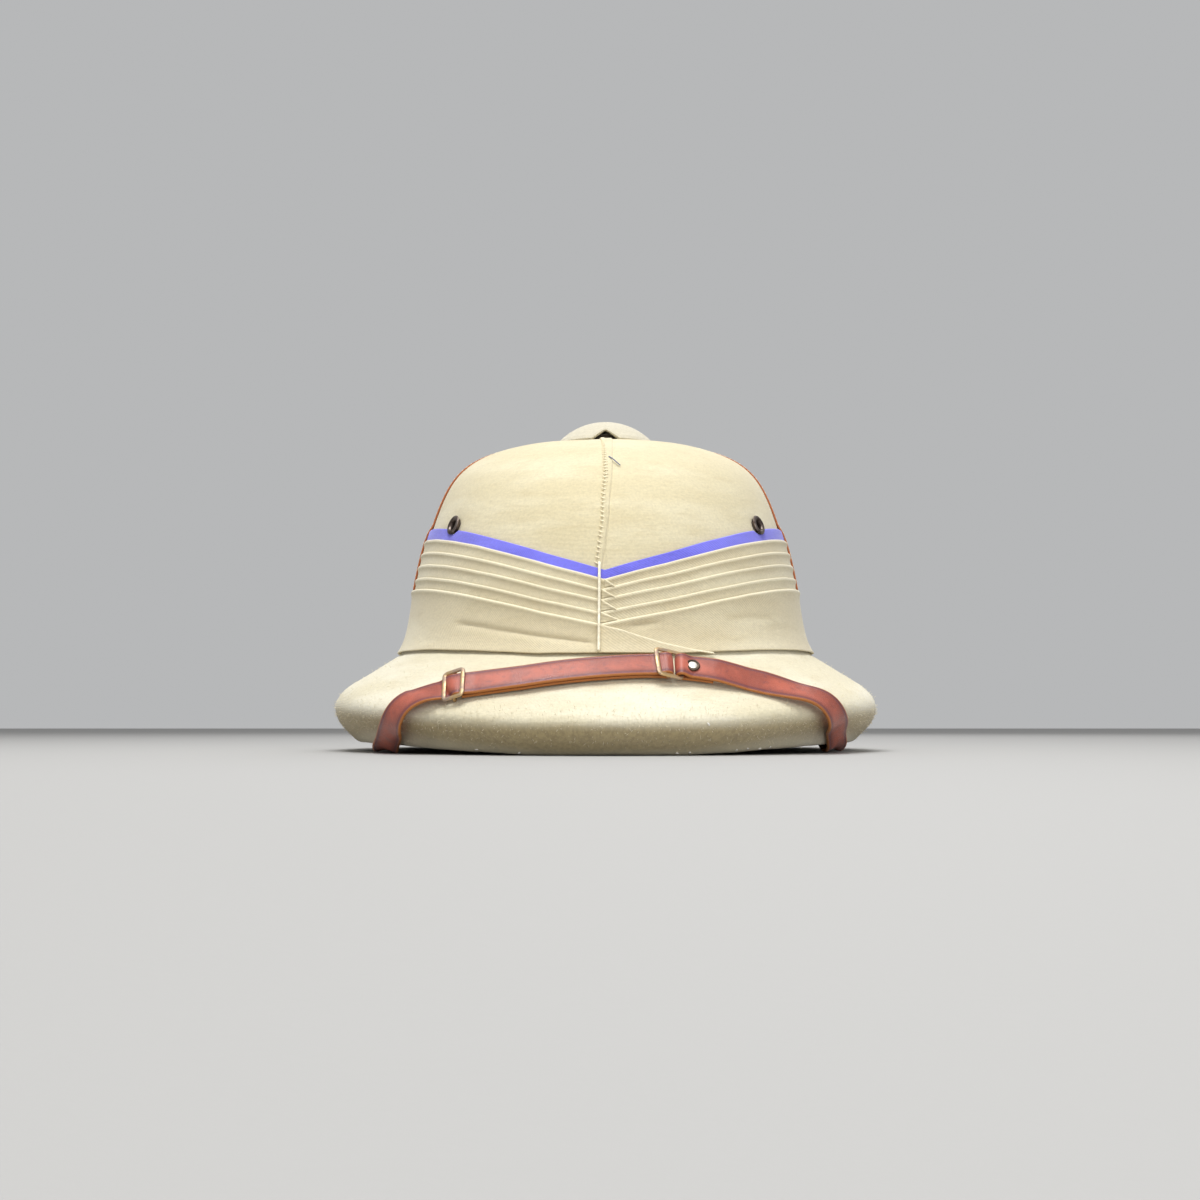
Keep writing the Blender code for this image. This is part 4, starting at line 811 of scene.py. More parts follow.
def make_crown():
    """The crown: canvas skin over a shell, open at the foot and the vent, with a lining."""
    angle = seam_columns()
    foot = crown_foot(angle)
    seat_share = (SEAT_RISE + GAP) / (CROWN_TOP - foot)
    side_rows = np.interp(np.linspace(0.0, 9.0, 60), np.arange(10.0), CROWN_ROWS)
    top_rows = crown_share(np.linspace(TOP_ROWS_RADIUS, VENT_HOLE_RADIUS, 34))
    shares = [seat_share + row / CROWN_ROWS[-1] * (top_rows[0] - seat_share) for row in side_rows]
    shares += [np.full_like(angle, row) for row in top_rows[1:]]
    rings = np.stack([on_crown(angle, share) for share in shares])
    normals = np.stack([crown_normal(angle, np.clip(share, 0.0, 0.9994)) for share in shares])
    dents = CROWN_DENT * (ripple(rings, DENT_LENGTH, 3) - 1.0) * smooth_step(rings[..., 2], 60.0, 90.0)
    rings = rings + normals * (seam_lap(rings, angle) + dents)[..., None]
    half_width, half_length = CROWN_WIDTH / 2.0 - CROWN_WALL, CROWN_LENGTH / 2.0 - CROWN_WALL
    lining_top = crown_share(VENT_HOLE_RADIUS * CROWN_WIDTH / 2.0 / half_width)
    seat = foot + SEAT_RISE + GAP
    lining_rows = np.concatenate([crown_share(np.linspace(VENT_HOLE_RADIUS * 1.12, 60.0, 16)),
                                  np.linspace(0.9, 0.0, 20)])
    lining = [around(angle, half_width * crown_narrowing(share), half_length * crown_narrowing(share),
                     seat + share * (CROWN_TOP - CROWN_ROOF - seat))
              for share in np.minimum(lining_rows, lining_top)]
    points = np.concatenate([rings, np.stack(lining)])
    panel = pi / 4.0 + np.floor(angle / (pi / 2.0) + 1e-9) * pi / 2.0
    crown = surface("crown_canvas", points, one_more(from_axis(points) * (angle - panel), "wrap", "wrap"),
                    one_more(running_length(points), "edge", "wrap"), closed_rows=True)
    for side in (-1.0, 1.0):
        drill(crown, *eyelet_seat(side * EYELET_ANGLE), EYELET_TUBE_RADIUS + GAP)
    piece(crown, CANVAS, "canvas", "crown")


def eyelet_seat(angle):
    """Point on the crown's wall and outward axis of an eyelet."""
    height = wound_line("flash", np.array(angle)) + EYELET_OVER_FLASH
    share = float(height / (CROWN_TOP - crown_foot(angle)))
    return on_crown(angle, share), crown_normal(angle, share)


def drill(thing, place, axis, radius):
    """Cut a round hole through a wall along an axis."""
    ring, axis = place + radius * circle(axis, 24), unit(axis)
    ends = np.stack([ring - axis * 2.0 * CROWN_WALL, ring + axis * CROWN_WALL])
    combine(thing, surface("cutter", ends, 0.0, 0.0, capped=True), "DIFFERENCE")


def combine(thing, other, operation):
    """Join another mesh to a mesh, or cut it out, and delete the other."""
    modifier = thing.modifiers.new("combine", "BOOLEAN")
    modifier.object, modifier.operation, modifier.solver = other, operation, "EXACT"
    bpy.context.view_layer.update()
    evaluated = thing.evaluated_get(bpy.context.evaluated_depsgraph_get())
    mesh = bpy.data.meshes.new_from_object(evaluated)
    thing.modifiers.clear()
    thing.data = mesh
    bpy.data.objects.remove(other, do_unlink=True)


def make_seam_stitches():
    """Overcast stitches over one edge of the front and back seams, and dark dots at their needle holes:
    painted shade.
    """
    rows = []
    draw = np.random.default_rng(11)
    for seam in (0.0, pi):
        low = float(wound_line("flash", np.array(seam)) + crown_foot(seam)) + SEAM_FOOT
        shares = np.linspace(0.0, 1.0, 2400)
        foot_share = (low - BRIM_RISE) / (CROWN_TOP - BRIM_RISE)
        share = foot_share * (1.0 - shares) + crown_share(SEAM_TOP_RADIUS) * shares
        height = BRIM_RISE + share * (CROWN_TOP - BRIM_RISE)
        middle = np.full_like(height, pi) if seam else seam_middle(height)
        length = running_length(on_crown(middle, share))
        at = np.arange(1.0, length[-1], SEAM_PITCH)
        at = at + draw.uniform(-0.25, 0.25, len(at))
        share, height, middle = (np.interp(at, length, values) for values in (share, height, middle))
        edge = middle - (seam_half_width(height) + 0.1) / from_axis(on_crown(middle, share))
        point, normal = on_crown(edge, share), crown_normal(edge, np.minimum(share, 0.999))
        up = unit(on_crown(edge, share + 1e-4) - point)
        side = np.cross(up, normal)
        lean = 0.55 + draw.uniform(-0.15, 0.15, (len(at), 1))
        rows.append((point + normal * 0.25, up * lean - side, normal,
                     point + side * 1.25 - up * 0.5 - normal * 0.05))
    places, along, out, holes = (np.concatenate(part) for part in zip(*rows))
    piece(copies("seam_stitches", capsule(), places, along, out, *SEAM_STITCH), SEAM_THREAD, "canvas")
    dots = copies("seam_needle_holes", capsule(6, 3), holes, along, out, *SEAM_HOLE)
    piece(dots, NEEDLE_HOLE_SHADE, "canvas")


# Brim

def rounded_rows(corners, reach, between, steps=5):
    """Rows of a closed section whose corners are rounded and faces divided.

    Corner C with neighbours P and N becomes the curve (1-t)^2 A + 2t(1-t) C + t^2 B,
    where A and B lie reach away from C towards P and N.
    """
    before, after = np.roll(corners, 1, axis=0), np.roll(corners, -1, axis=0)
    reach = np.asarray(reach)[..., None]
    start = corners + unit(before - corners) * reach
    end = corners + unit(after - corners) * reach
    rows = []
    for index, parts in enumerate(between):
        for t in np.linspace(0.0, 1.0, steps):
            bend = (1 - t) ** 2 * start[index] + 2 * t * (1 - t) * corners[index]
            rows.append(bend + t ** 2 * end[index])
        following = start[(index + 1) % len(between)]
        for t in np.linspace(0.0, 1.0, parts + 1)[1:-1]:
            rows.append(end[index] * (1 - t) + following * t)
    return np.stack(rows)


def make_brim():
    """The brim: its section, rounded, carried round the head opening."""
    angle = np.arange(320) * 2.0 * pi / 320
    side = smooth_step(np.abs(np.sin(angle)), 0.80, 0.96)
    corners = brim_corners(angle, 0.0, CLOTH_RIDGE_ROUND + SIDE_RIDGE_ROUND * side,
                           CLOTH_RIDGE_FULLNESS + SIDE_RIDGE_FULLNESS * side)
    reach = np.array(CORNER_REACH)[:, None] + np.array(SIDE_CORNER_REACH)[:, None] * side
    rows = rounded_rows(corners, reach, FACE_PARTS)
    normal = unit(np.cross(np.roll(rows, -1, axis=1) - np.roll(rows, 1, axis=1),
                           np.roll(rows, -1, axis=0) - np.roll(rows, 1, axis=0)))
    dents = sum(depth * (ripple(rows, length, seed) - 1.0) for depth, length, seed in BRIM_DENTS)
    rows = rows + normal * np.abs(dents)[..., None]
    v = running_length(rows).mean(axis=1)
    v = np.append(v, 2.0 * v[-1] - v[-2])[:, None]
    u = np.append(angle, 2.0 * pi) * BRIM_WIDTH / 2.0
    brim = surface("brim_canvas", rows, u, v, closed_rows=True)
    points = coordinates(brim)
    turned, height, radius = angle_of(points), points[:, 2], from_axis(points)
    ridge = ridge_height(turned)
    outer = section_radius(turned, (BRIM_WIDTH / 2.0 - EDGE_LEAN, BRIM_LENGTH / 2.0 - EDGE_LEAN))
    # Darker edge face, dirt and painted shade, and darker underside by the rim, painted shade
    edge = smooth_step(radius, outer - 6.0, outer + 2.0)
    edge = edge * (1.0 - smooth_step(height, ridge - 5.0, ridge + 0.5))
    under = (1.0 - smooth_step(radius, outer - 12.0, outer - 2.0)) * (height < 8.0)
    mark(brim, "edge", np.clip(EDGE_FACE_DIRT_AND_SHADE * edge + UNDERSIDE_PAINTED_SHADE * under, 0.0, 1.0))
    return piece(brim, BRIM_CANVAS_DIRT_AND_PAINTED_LIGHT, "canvas", "brim")


def make_fuzz(brim):
    """Short fibres standing off the brim's rubbed edge, and a few pale bits of lint.

    They grow from the brim's own points, thickest along the ridge and in tufts.
    """
    draw = np.random.default_rng(21)
    points = coordinates(brim)
    normals = np.empty(points.size)
    brim.data.vertices.foreach_get("normal", normals)
    normals = normals.reshape(-1, 3)
    radial = points - (0.0, CROWN_Y, 0.0)
    radial[:, 2] = 0.0
    turned, height = angle_of(points), points[:, 2]
    foot = section_radius(turned, crown_half_sizes(np.zeros_like(turned)))
    shown = (np.linalg.norm(radial, axis=1) > foot + 2.0) & (dot(normals, unit(radial))[:, 0] > 0.05)
    weight = 0.05 + np.exp(-((height - rim_lift(turned) - FIBRE_RISE) / FIBRE_SPREAD) ** 2)
    from_tufts = (np.degrees(turned)[:, None] - np.array(TUFTS)) / TUFT_WIDTH
    weight += TUFT_WEIGHT * np.exp(-from_tufts ** 2).sum(axis=1) * (height > TUFT_FLOOR)
    weight *= shown & (height > FIBRE_FLOOR)
    chosen = draw.choice(len(points), FIBRES, p=weight / weight.sum())
    out = normals[chosen]
    along = unit(np.cross(out, draw.normal(size=(FIBRES, 3))))
    start = points[chosen] + along * draw.uniform(0.0, 1.6, (FIBRES, 1)) - out * 0.2
    lengths = np.minimum(draw.gamma(2.0, 0.36, FIBRES) + 0.4, 2.2)
    lean = unit(out + draw.normal(0.0, 0.5, (FIBRES, 3)))
    middle = start + lean * lengths[:, None] / 2.0
    fibres = copies("brim_fuzz", capsule(3, 3), middle, lean, np.roll(lean, 1, axis=1), lengths,
                    FIBRE_WIDTH, FIBRE_WIDTH)
    piece(fibres, FUZZ, "canvas")
    angle, place = np.radians(np.array(LINT_SPOTS["angle"])), np.array(LINT_SPOTS["place"])
    start = on_section(angle, place, 0.0)
    out = unit(on_section(angle, place, 1.0) - start)
    along = unit(np.cross(out, draw.normal(size=(len(angle), 3))))
    lint = copies("lint", capsule(5, 3), start + out * 0.15, along, out, draw.uniform(1.2, 2.6, len(angle)),
                  draw.uniform(0.7, 1.3, len(angle)), 0.6)
    piece(lint, LINT, "canvas")


# Vent cap, collar and eyelets

def make_vent():
    """The domed cap with pointed arches cut into its rim, over a raised collar."""
    angle = np.arange(288) * 2.0 * pi / 288
    rim = float(crown_height_at(CAP_RADIUS, pi / 2.0)) + GAP + CAP_EDGE
    radius = (CAP_RADIUS ** 2 + CAP_RISE ** 2) / (2.0 * CAP_RISE)
    centre = rim + CAP_RISE - radius
    from_notch = np.abs((angle + pi / 4.0) % (pi / 2.0) - pi / 4.0)
    half = NOTCH_HALF / CAP_RADIUS
    edge_height = rim + NOTCH_RISE * (1.0 - np.minimum(1.0, from_notch / half) ** NOTCH_POWER)
    edge = np.sqrt(radius ** 2 - (edge_height - centre) ** 2)
    low = np.maximum(crown_height_at(CAP_RADIUS, angle) + GAP, edge_height - CAP_EDGE)
    rows = []
    for share in np.linspace(0.0, 1.0, 26) ** 0.8:
        reach = share * (edge - CAP_ROUND)
        rows.append(around(angle, reach, reach, centre + np.sqrt(radius ** 2 - reach ** 2)))
    top_rows = len(rows)
    for turn in np.linspace(0.15, pi - 0.15, CAP_ROUND_ROWS):
        reach = edge - CAP_ROUND + CAP_ROUND * np.sin(turn)
        height = (edge_height + low) / 2.0 + (edge_height - low) / 2.0 * np.cos(turn)
        rows.append(around(angle, reach, reach, height))
    for share in np.linspace(1.0, 0.0, 16):
        reach = share * (edge - CAP_WALL)
        height = np.where(share > 0.999, low, centre + np.sqrt((radius - CAP_WALL) ** 2 - reach ** 2))
        rows.append(around(angle, reach, reach, height))
    points = np.stack(rows)
    sewn = (from_axis(points[:top_rows]) - edge + CAP_SEAM_FROM_RIM) / CAP_SEAM_WIDTH
    points[:top_rows, :, 2] -= CAP_SEAM_DEPTH * np.exp(-sewn ** 2)
    cap = surface("vent_cap_canvas", points, one_more(points[..., 0], "wrap", "wrap"),
                  one_more(points[..., 1] - CROWN_Y, "wrap", "wrap"))
    # The cap takes the darker copy of the canvas: painted shade
    piece(cap, CAP_CANVAS_SHADED, "canvas", "vent_cap")
    ring, outside, inside = angle[::3], COLLAR_RADIUS, COLLAR_RADIUS - COLLAR_WALL
    top = float(crown_height_at(outside, pi / 2.0)) + GAP + COLLAR_RISE
    corners = np.stack([
        around(ring, inside, inside, top), around(ring, outside, outside, top),
        around(ring, outside, outside, crown_height_at(outside, ring) + GAP),
        around(ring, inside, inside, crown_height_at(inside, ring) + GAP),
    ])
    rows = rounded_rows(corners, COLLAR_REACH, (2, 2, 2, 2))
    # The collar is near black: painted shade inside the cap's notches
    collar = surface("vent_collar_canvas", rows, np.append(ring, 2.0 * pi) * outside,
                     np.arange(len(rows) + 1.0)[:, None] * 0.8, closed_rows=True)
    piece(collar, COLLAR_PAINTED_SHADE, "canvas", "vent_collar")


def make_eyelets():
    """Rolled metal eyelets at the temples."""
    flange, tube, hole = EYELET_FLANGE_RADIUS, EYELET_TUBE_RADIUS, EYELET_HOLE_RADIUS
    profile = (
        (flange - 1.3, EYELET_HEIGHT), (flange - 0.45, EYELET_HEIGHT * 0.85),
        (flange, EYELET_HEIGHT * 0.35), (flange, 0.0), (tube, 0.0), (tube, -EYELET_DEPTH),
        (hole, -EYELET_DEPTH), (hole, -0.4), (hole + 0.35, 0.35),
    )
    for name, side in (("left", -1.0), ("right", 1.0)):
        wall, axis = eyelet_seat(side * EYELET_ANGLE)
        ring = lathe("eyelet_ring_" + name, profile, wall + axis * (FOLD_CLOTH + 2.0 * GAP), axis)
        piece(ring, DARK, "dark_metal", "eyelet_" + name)


# Wound cloth

def pill_section(heights, prouds, thick, round_steps=6):
    """Closed section rows of a cloth whose middle runs down heights and prouds.

    Each is rows x angles. The faces lie half the thickness to each side of the middle,
    and half circles round both ends.
    """
    line = np.stack([heights, prouds], axis=-1)
    along = unit(np.gradient(line, axis=0))
    side = np.stack([-along[..., 1], along[..., 0]], axis=-1)
    half = thick / 2.0
    turn = np.linspace(0.0, pi, round_steps + 2)[1:-1][:, None, None]
    lower = line[-1] + half * (side[-1] * np.cos(turn) + along[-1] * np.sin(turn))
    upper = line[0] - half * (side[0] * np.cos(turn) + along[0] * np.sin(turn))
    return np.concatenate([line + half * side, lower, (line - half * side)[::-1], upper])


def wound_columns():
    """Angles round the wound cloth, close together over the front crossing."""
    front = np.radians(np.linspace(-34.0, 34.0, 137))
    rest = np.radians(np.linspace(34.0, 326.0, 220))[1:-1]
    return np.concatenate([front, rest])


def cloth_ring(name, layer, heights, prouds, thick, finish, slot, seed):
    """A turn of cloth round the crown."""
    angle = wound_columns()
    middle = up_crown(angle, heights, prouds)
    section = pill_section(heights, prouds, thick)
    points = up_crown(angle, section[..., 0], section[..., 1])
    sag = CLOTH_SAG * (ripple(points, SAG_LENGTH, seed) - 1.0) * 0.5
    points = up_crown(angle, section[..., 0] + SAG_EDGE * sag, section[..., 1])
    u = running_length(np.concatenate([points, points[:, :1]], axis=1), axis=1).mean(axis=0)
    v = running_length(points).mean(axis=1)
    ring = surface(name, points, u, np.append(v, v[-1] + 1.0)[:, None], closed_rows=True)
    rise = section[..., 0] - wound_line(layer, angle)
    # Paler upper edge of each fold: wear and a painted highlight
    mark(ring, "edge", FOLD_EDGE_WEAR_AND_HIGHLIGHT * smooth_step(rise, -1.5, -0.1) * (section[..., 1] > prouds[0] - 0.2))
    piece(ring, finish, slot, "puggaree_" + layer)


def pressed(angle):
    """How far the side strips press the folds' edges flat: 1 under a strip, 0 beside it."""
    return np.exp(-(np.cos(angle) / sin(radians(PRESSED_DEGREES))) ** 4)


def make_wound_cloth():
    """The flash, four narrow folds and the wide band.

    A fold's middle stands face + lap e^(-(d - tuck) / reach) proud at d below its upper
    edge, less half its thickness, and is tucked a little under the next fold's edge.
    """
    angle = wound_columns()
    layers = list(WOUND_LINES)
    shares = np.linspace(0.0, 1.0, 26)[:, None] ** 1.6
    for index, layer in enumerate(layers):
        top = wound_line(layer, angle)
        thick, face, lap, reach = FOLD_CLOTH, FOLD_FACE, LAP, 1.3
        finish, slot, name = WOUND, "wound_cloth", layer + "_sheet"
        if layer == "flash":
            lap, finish, slot = 0.0, FLASH, "flash_cloth"
            for side in (-1.0, 1.0):
                away = from_front(angle) - side * EYELET_ANGLE
                away = away * from_axis(eyelet_seat(side * EYELET_ANGLE)[0])
                top = top - FLASH_DIP * np.exp(-(away / FLASH_DIP_REACH) ** 4)
        if layer == "band":
            thick, face, lap, reach = BAND_CLOTH, BAND_FACE, BAND_LAP, 2.2
            end = np.full_like(angle, 1.7)
        else:
            end = wound_line(layers[index + 1], angle) - TUCK
        start = top - thick / 2.0
        heights = start + shares * (end - start)
        below = top - heights
        lap = lap * (1.0 - PRESSED * pressed(angle))
        prouds = face + lap * np.exp(-np.maximum(0.0, below - TUCK - GAP) / reach) - thick / 2.0
        if layer == "band":
            prouds = prouds - band_creases(angle, heights + crown_foot(angle))
        elif layer != "flash":
            prouds = prouds + 0.12 * np.sin(pi * np.clip((below - 3.0) / 5.0, 0.0, 1.0)) ** 2
        cloth_ring(name, layer, heights, prouds, thick, finish, slot, 30 + index)


def crease(angle, height, path, width, depth):
    """Depth of a soft crease along a path of (degrees, height) points.

    It falls off as e^(-(distance / width)^2) and fades over its ends.
    """
    path = np.array(path)
    degrees = np.degrees(from_front(angle))
    middle = np.interp(degrees, path[:, 0], path[:, 1])
    ends = smooth_step(degrees, path[0, 0] - 1.0, path[0, 0] + 4.0)
    ends = ends * (1.0 - smooth_step(degrees, path[-1, 0] - 4.0, path[-1, 0] + 1.0))
    return depth * ends * np.exp(-((height - middle) / width) ** 2)


def band_creases(angle, height):
    """Creases of the wide band, where it was drawn tight beside the front."""
    angle = np.broadcast_to(angle, height.shape)
    return sum(crease(angle, height, path, width, depth) for path, width, depth in CREASES)


def cloth_end(name, angle, heights, prouds, half, edge_mark):
    """A short piece of cloth with both ends closed, its marked edge as given."""
    section = pill_section(heights, prouds, 2.0 * half)
    points = np.swapaxes(up_crown(angle, section[..., 0], section[..., 1]), 0, 1)
    end = surface(name, points, one_more(running_length(points)), one_more(running_length(points, axis=1)),
                  capped=True)
    mark(end, "edge", edge_mark(section[..., 0]).T)
    return end


def make_band_lap():
    """The wide band's free end, cut on the slant and lapped over the front."""
    angle = np.radians(np.linspace(LAP_END["angle"][0], LAP_END["angle"][-1], 90))
    top = np.interp(np.degrees(angle), LAP_END["angle"], LAP_END["top"]) - crown_foot(angle)
    share = np.linspace(0.0, 1.0, 18)[:, None]
    heights = top - LAP_HALF - share * np.maximum(top - LAP_HALF - LAP_LOW, 0.05)
    prouds = LAP_PROUD - LAP_HALF + 0.25 * np.exp(-(top - heights) / 1.2)
    # The lapped end's upper edge is paler: wear and a painted highlight
    lap = cloth_end("band_lap_sheet", angle, heights, prouds, LAP_HALF,
                    lambda height: LAP_EDGE_WEAR_AND_HIGHLIGHT * smooth_step(height - top + 1.3, 0.0, 1.0))
    middle = up_crown(angle, heights, prouds)
    piece(lap, WOUND, "wound_cloth")


def joined(name, things):
    """Several meshes as one object."""
    shape = bmesh.new()
    for thing in things:
        shape.from_mesh(thing.data)
    shape.to_mesh(things[0].data)
    shape.free()
    for thing in things[1:]:
        bpy.data.objects.remove(thing, do_unlink=True)
    things[0].name = name
    return things[0]


def make_fold_ends():
    """Ends of the left-hand folds, lapped over the right-hand ones beside the tape.

    Each is a small triangle: its upper edge runs on down from its own fold's edge until
    it meets the next fold's edge, on which its lower edge lies.
    """
    ends, area = [], 0.0
    for layer, below, start, stop in FOLD_ENDS:
        angle = np.radians(np.linspace(start, stop, 26))
        first, last = wound_line(layer, angle)[0], wound_line(below, angle)[-1]
        top = first + np.linspace(0.0, 1.0, len(angle)) * (last - first)
        low = np.minimum(wound_line(below, angle) + 0.15 + END_HALF, top - END_HALF - 0.05)
        share = np.linspace(0.0, 1.0, 12)[:, None]
        heights = top - END_HALF + share * (low - top + END_HALF)
        prouds = END_PROUD - END_HALF + 0.75 * np.exp(-np.maximum(0.0, top - heights - 0.8) / 1.3)
        # The ends' upper edges are paler: wear and a painted highlight
        ends.append(cloth_end("end_of_" + layer, angle, heights, prouds, END_HALF,
                              lambda height: FOLD_EDGE_WEAR_AND_HIGHLIGHT * smooth_step(height - top, -1.0, -0.2)))
        area += float((top - low).mean() * np.ptp(angle) * CROWN_LENGTH / 2.0)
    ends = joined("fold_ends_sheet", ends)
    piece(ends, WOUND, "wound_cloth")


def line_heights(angle):
    """Heights over the foot of the flash's, first fold's and band's upper edges."""
    return [float(wound_line(layer, np.array(angle))) for layer in ("flash", "fold_1", "band")]


def make_tape():
    """The narrow upright tape over the front crossing."""
    angle = TAPE_OFF_CENTRE / (CROWN_LENGTH / 2.0)
    flash, fold, band = line_heights(angle)
    over_flash, over_fold, over_band = FOLD_FACE + GAP, FOLD_FACE + LAP + GAP, BAND_FACE + 1.3 + GAP
    keys = (1.6, 0.6 * band, band + 1.0, band + 3.0, fold + 0.6, fold + 2.6, flash + 0.8, flash + 2.4)
    levels = (over_band, over_band, over_band, over_fold, over_fold, over_flash, over_flash, GAP)
    height = np.linspace(keys[0], keys[-1], 120)
    level = running_mean(np.interp(height, keys, levels) + TAPE_CLOTH / 2.0, 3)
    middle = up_crown(angle, height, level)
    up = unit(np.gradient(middle, axis=0))
    across = np.array((cos(angle), sin(angle), 0.0))
    out = unit(np.cross(across, up))
    turn = np.arange(20) * pi / 10.0
    wide = filled(np.cos(turn), 0.6) * TAPE_WIDTH / 2.0
    tall = filled(np.sin(turn), 0.8) * TAPE_CLOTH / 2.0
    twist = 1.0 + 0.07 * np.sin(height * 2.0 * pi / 3.1)[:, None]
    points = middle[:, None] + across * (wide * twist)[..., None] + out[:, None] * (tall * twist)[..., None]
    along = running_length(middle)
    length = along[-1]
    tape = surface("tape_sheet", points, np.append(turn, 2.0 * pi) * 0.8,
                   np.append(along, length)[:, None], capped=True)
    piece(tape, TAPE, "wound_cloth", "puggaree_tape")


# Side strips

def make_side_strips():
    """Leather strips down the side seams, sewn along both edges."""
    over_fold, over_flash = FOLD_FACE + (1.0 - PRESSED) * LAP + GAP, FOLD_FACE + GAP
    for name, angle in (("left", -pi / 2.0), ("right", pi / 2.0)):
        flash, fold, band = line_heights(angle)
        tall = CROWN_TOP - float(crown_foot(angle))
        side_rows = np.linspace(band / tall + 0.006, 0.94, 70)
        shares = np.unique(np.concatenate([side_rows, crown_share(np.linspace(56.0, 29.0, 40))]))
        shares = shares[shares <= float(crown_share(CAP_RADIUS + STRIP_TOP_CLEARANCE))]
        keys = np.array((fold + 0.8, fold + 2.6, flash + 0.8, flash + 2.6)) / tall
        level = np.interp(shares, keys, (over_fold, over_flash, over_flash, GAP)) + STRIP_LEATHER / 2.0
        normal = crown_normal(angle, shares)
        middle = on_crown(angle, shares) + normal * running_mean(level, 2)[:, None]
        across = np.array((cos(angle), sin(angle), 0.0))
        section, marks = leather_profile(STRIP_WIDTH, STRIP_LEATHER)
        points = middle[:, None] + across * section[None, :, :1] + normal[:, None] * section[None, :, 1:]
        strip = surface("side_strip_leather_" + name, points, *strip_map(points, middle), capped=True)
        mark_leather(strip, marks, len(middle))
        piece(strip, STRIP, "strip_leather", "side_strip_" + name)
        length = running_length(middle)
        at = np.arange(2.0, length[-1] - 1.5, STRIP_PITCH)
        sewn, out = read_rows(at, length, middle), unit(read_rows(at, length, normal))
        up = unit(np.gradient(sewn, axis=0))
        inset = across * (STRIP_WIDTH / 2.0 - STRIP_STITCH_INSET)
        rows = [sewn + inset * side + out * (STRIP_LEATHER / 2.0) for side in (-1.0, 1.0)]
        stitches = copies("side_strip_stitches_" + name, capsule(), np.concatenate(rows),
                          np.tile(up, (2, 1)), np.tile(out, (2, 1)), *STRIP_STITCH)
        piece(stitches, SEAM_THREAD, "strip_leather")


def leather_profile(width, thick):
    """Section of a strip of leather as (across, level), and where its marks lie.

    The face swells as 1 - x^4, has a groove beside each edge, and the edges are round.
    """
    half, round_edge = width / 2.0, thick * LEATHER_EDGE
    x = np.linspace(-1.0, 1.0, 27)
    flat = x * (half - round_edge)
    groove = GROOVE_DEPTH * np.exp(-((half - GROOVE_INSET - np.abs(flat)) / GROOVE_WIDTH) ** 2)
    top = thick / 2.0 * (LEATHER_FACE + (1.0 - LEATHER_FACE) * (1.0 - x ** 4)) - groove
    turn = np.linspace(0.0, pi, 7)[1:-1]
    right = np.stack([half - round_edge + round_edge * np.sin(turn),
                      thick / 2.0 * LEATHER_FACE * np.cos(turn)], axis=1)
    bottom = np.stack([flat[::-3], np.full(len(flat[::-3]), -thick / 2.0 * LEATHER_BACK)], axis=1)
    section = np.concatenate([np.stack([flat, top], axis=1), right, bottom, -right])
    away, face = half - np.abs(section[:, 0]), section[:, 1] > 0.0
    # Along the groove beside each edge: painted sheen and shade
    groove_sheen_and_shade = np.exp(-((away - GROOVE_INSET) / 0.55) ** 2) * face
    return section, np.stack([away < round_edge, groove_sheen_and_shade, smooth_step(away, 1.8, 4.2) * face])


def strip_map(points, middle):
    """Flat map of a strip: length along it and distance round its section."""
    along = running_length(middle)
    across = running_length(points, axis=1).mean(axis=0)
    return np.append(across, across[-1] + 1.0), np.append(along, along[-1])[:, None]


def mark_leather(strip, marks, rows):
    """Store where a strip's raw edge, crease with its painted sheen and shade, and worn middle lie, row by
    row.
    """
    for name, values in zip(("edge", "crease", "middle"), marks):
        mark(strip, name, np.tile(values, rows))


# Chin strap

def on_section(angle, place, proud):
    """Point over the brim's section at a place, between two of its corners."""
    proud = np.broadcast_to(proud, np.shape(angle))
    corners = brim_corners(angle, proud)
    corners = np.concatenate([corners, corners[:1]])
    index = np.clip(np.floor(place).astype(int), 0, len(corners) - 2)
    share = (place - index)[..., None]
    column = np.arange(len(angle))
    return corners[index, column] * (1.0 - share) + corners[index + 1, column] * share


def section_runs(angle):
    """Length round the brim's section from its first corner to each one, per angle."""
    corners = brim_corners(angle)
    return running_length(np.concatenate([corners, corners[:1]])).T


def place_of_run(angle, run):
    """Place round the brim's section at a length round it."""
    runs = section_runs(angle)
    index = np.clip((run[:, None] >= runs).sum(axis=1) - 1, 0, runs.shape[1] - 2)
    row = np.arange(len(run))
    return index + (run - runs[row, index]) / (runs[row, index + 1] - runs[row, index])


def run_of_place(angle, place):
    """Length round the brim's section up to a place."""
    runs = section_runs(angle)
    index = np.clip(np.floor(place).astype(int), 0, runs.shape[1] - 2)
    row = np.arange(len(place))
    return runs[row, index] + (place - index) * (runs[row, index + 1] - runs[row, index])


def route_distances(angle, run):
    """Distance along the brim's surface of each sample of the route."""
    return running_length(on_section(angle, place_of_run(angle, run), 0.0))


def route_table():
    """Distances along the strap's route with the angle and place at each.

    The route runs straight between its points, in angle and length round the section,
    at even steps along the surface, and is then eased by a running mean, taken twice.
    """
    angle = np.radians(STRAP_ROUTE["angle"])
    run = run_of_place(angle, np.array(STRAP_ROUTE["place"]))
    knots = np.linspace(0.0, len(run) - 1.0, 20 * len(run))
    rows = np.arange(len(run))
    angle, run = np.interp(knots, rows, angle), np.interp(knots, rows, run)
    rough = route_distances(angle, run)
    even = np.linspace(0.0, rough[-1], int(rough[-1] / ROUTE_STEP) + 1)
    angle, run = np.interp(even, rough, angle), np.interp(even, rough, run)
    for _ in range(2):
        angle, run = (eased(values, int(ROUTE_EASE / ROUTE_STEP / 2.0)) for values in (angle, run))
    return route_distances(angle, run), angle, place_of_run(angle, run)


ROUTE = route_table()


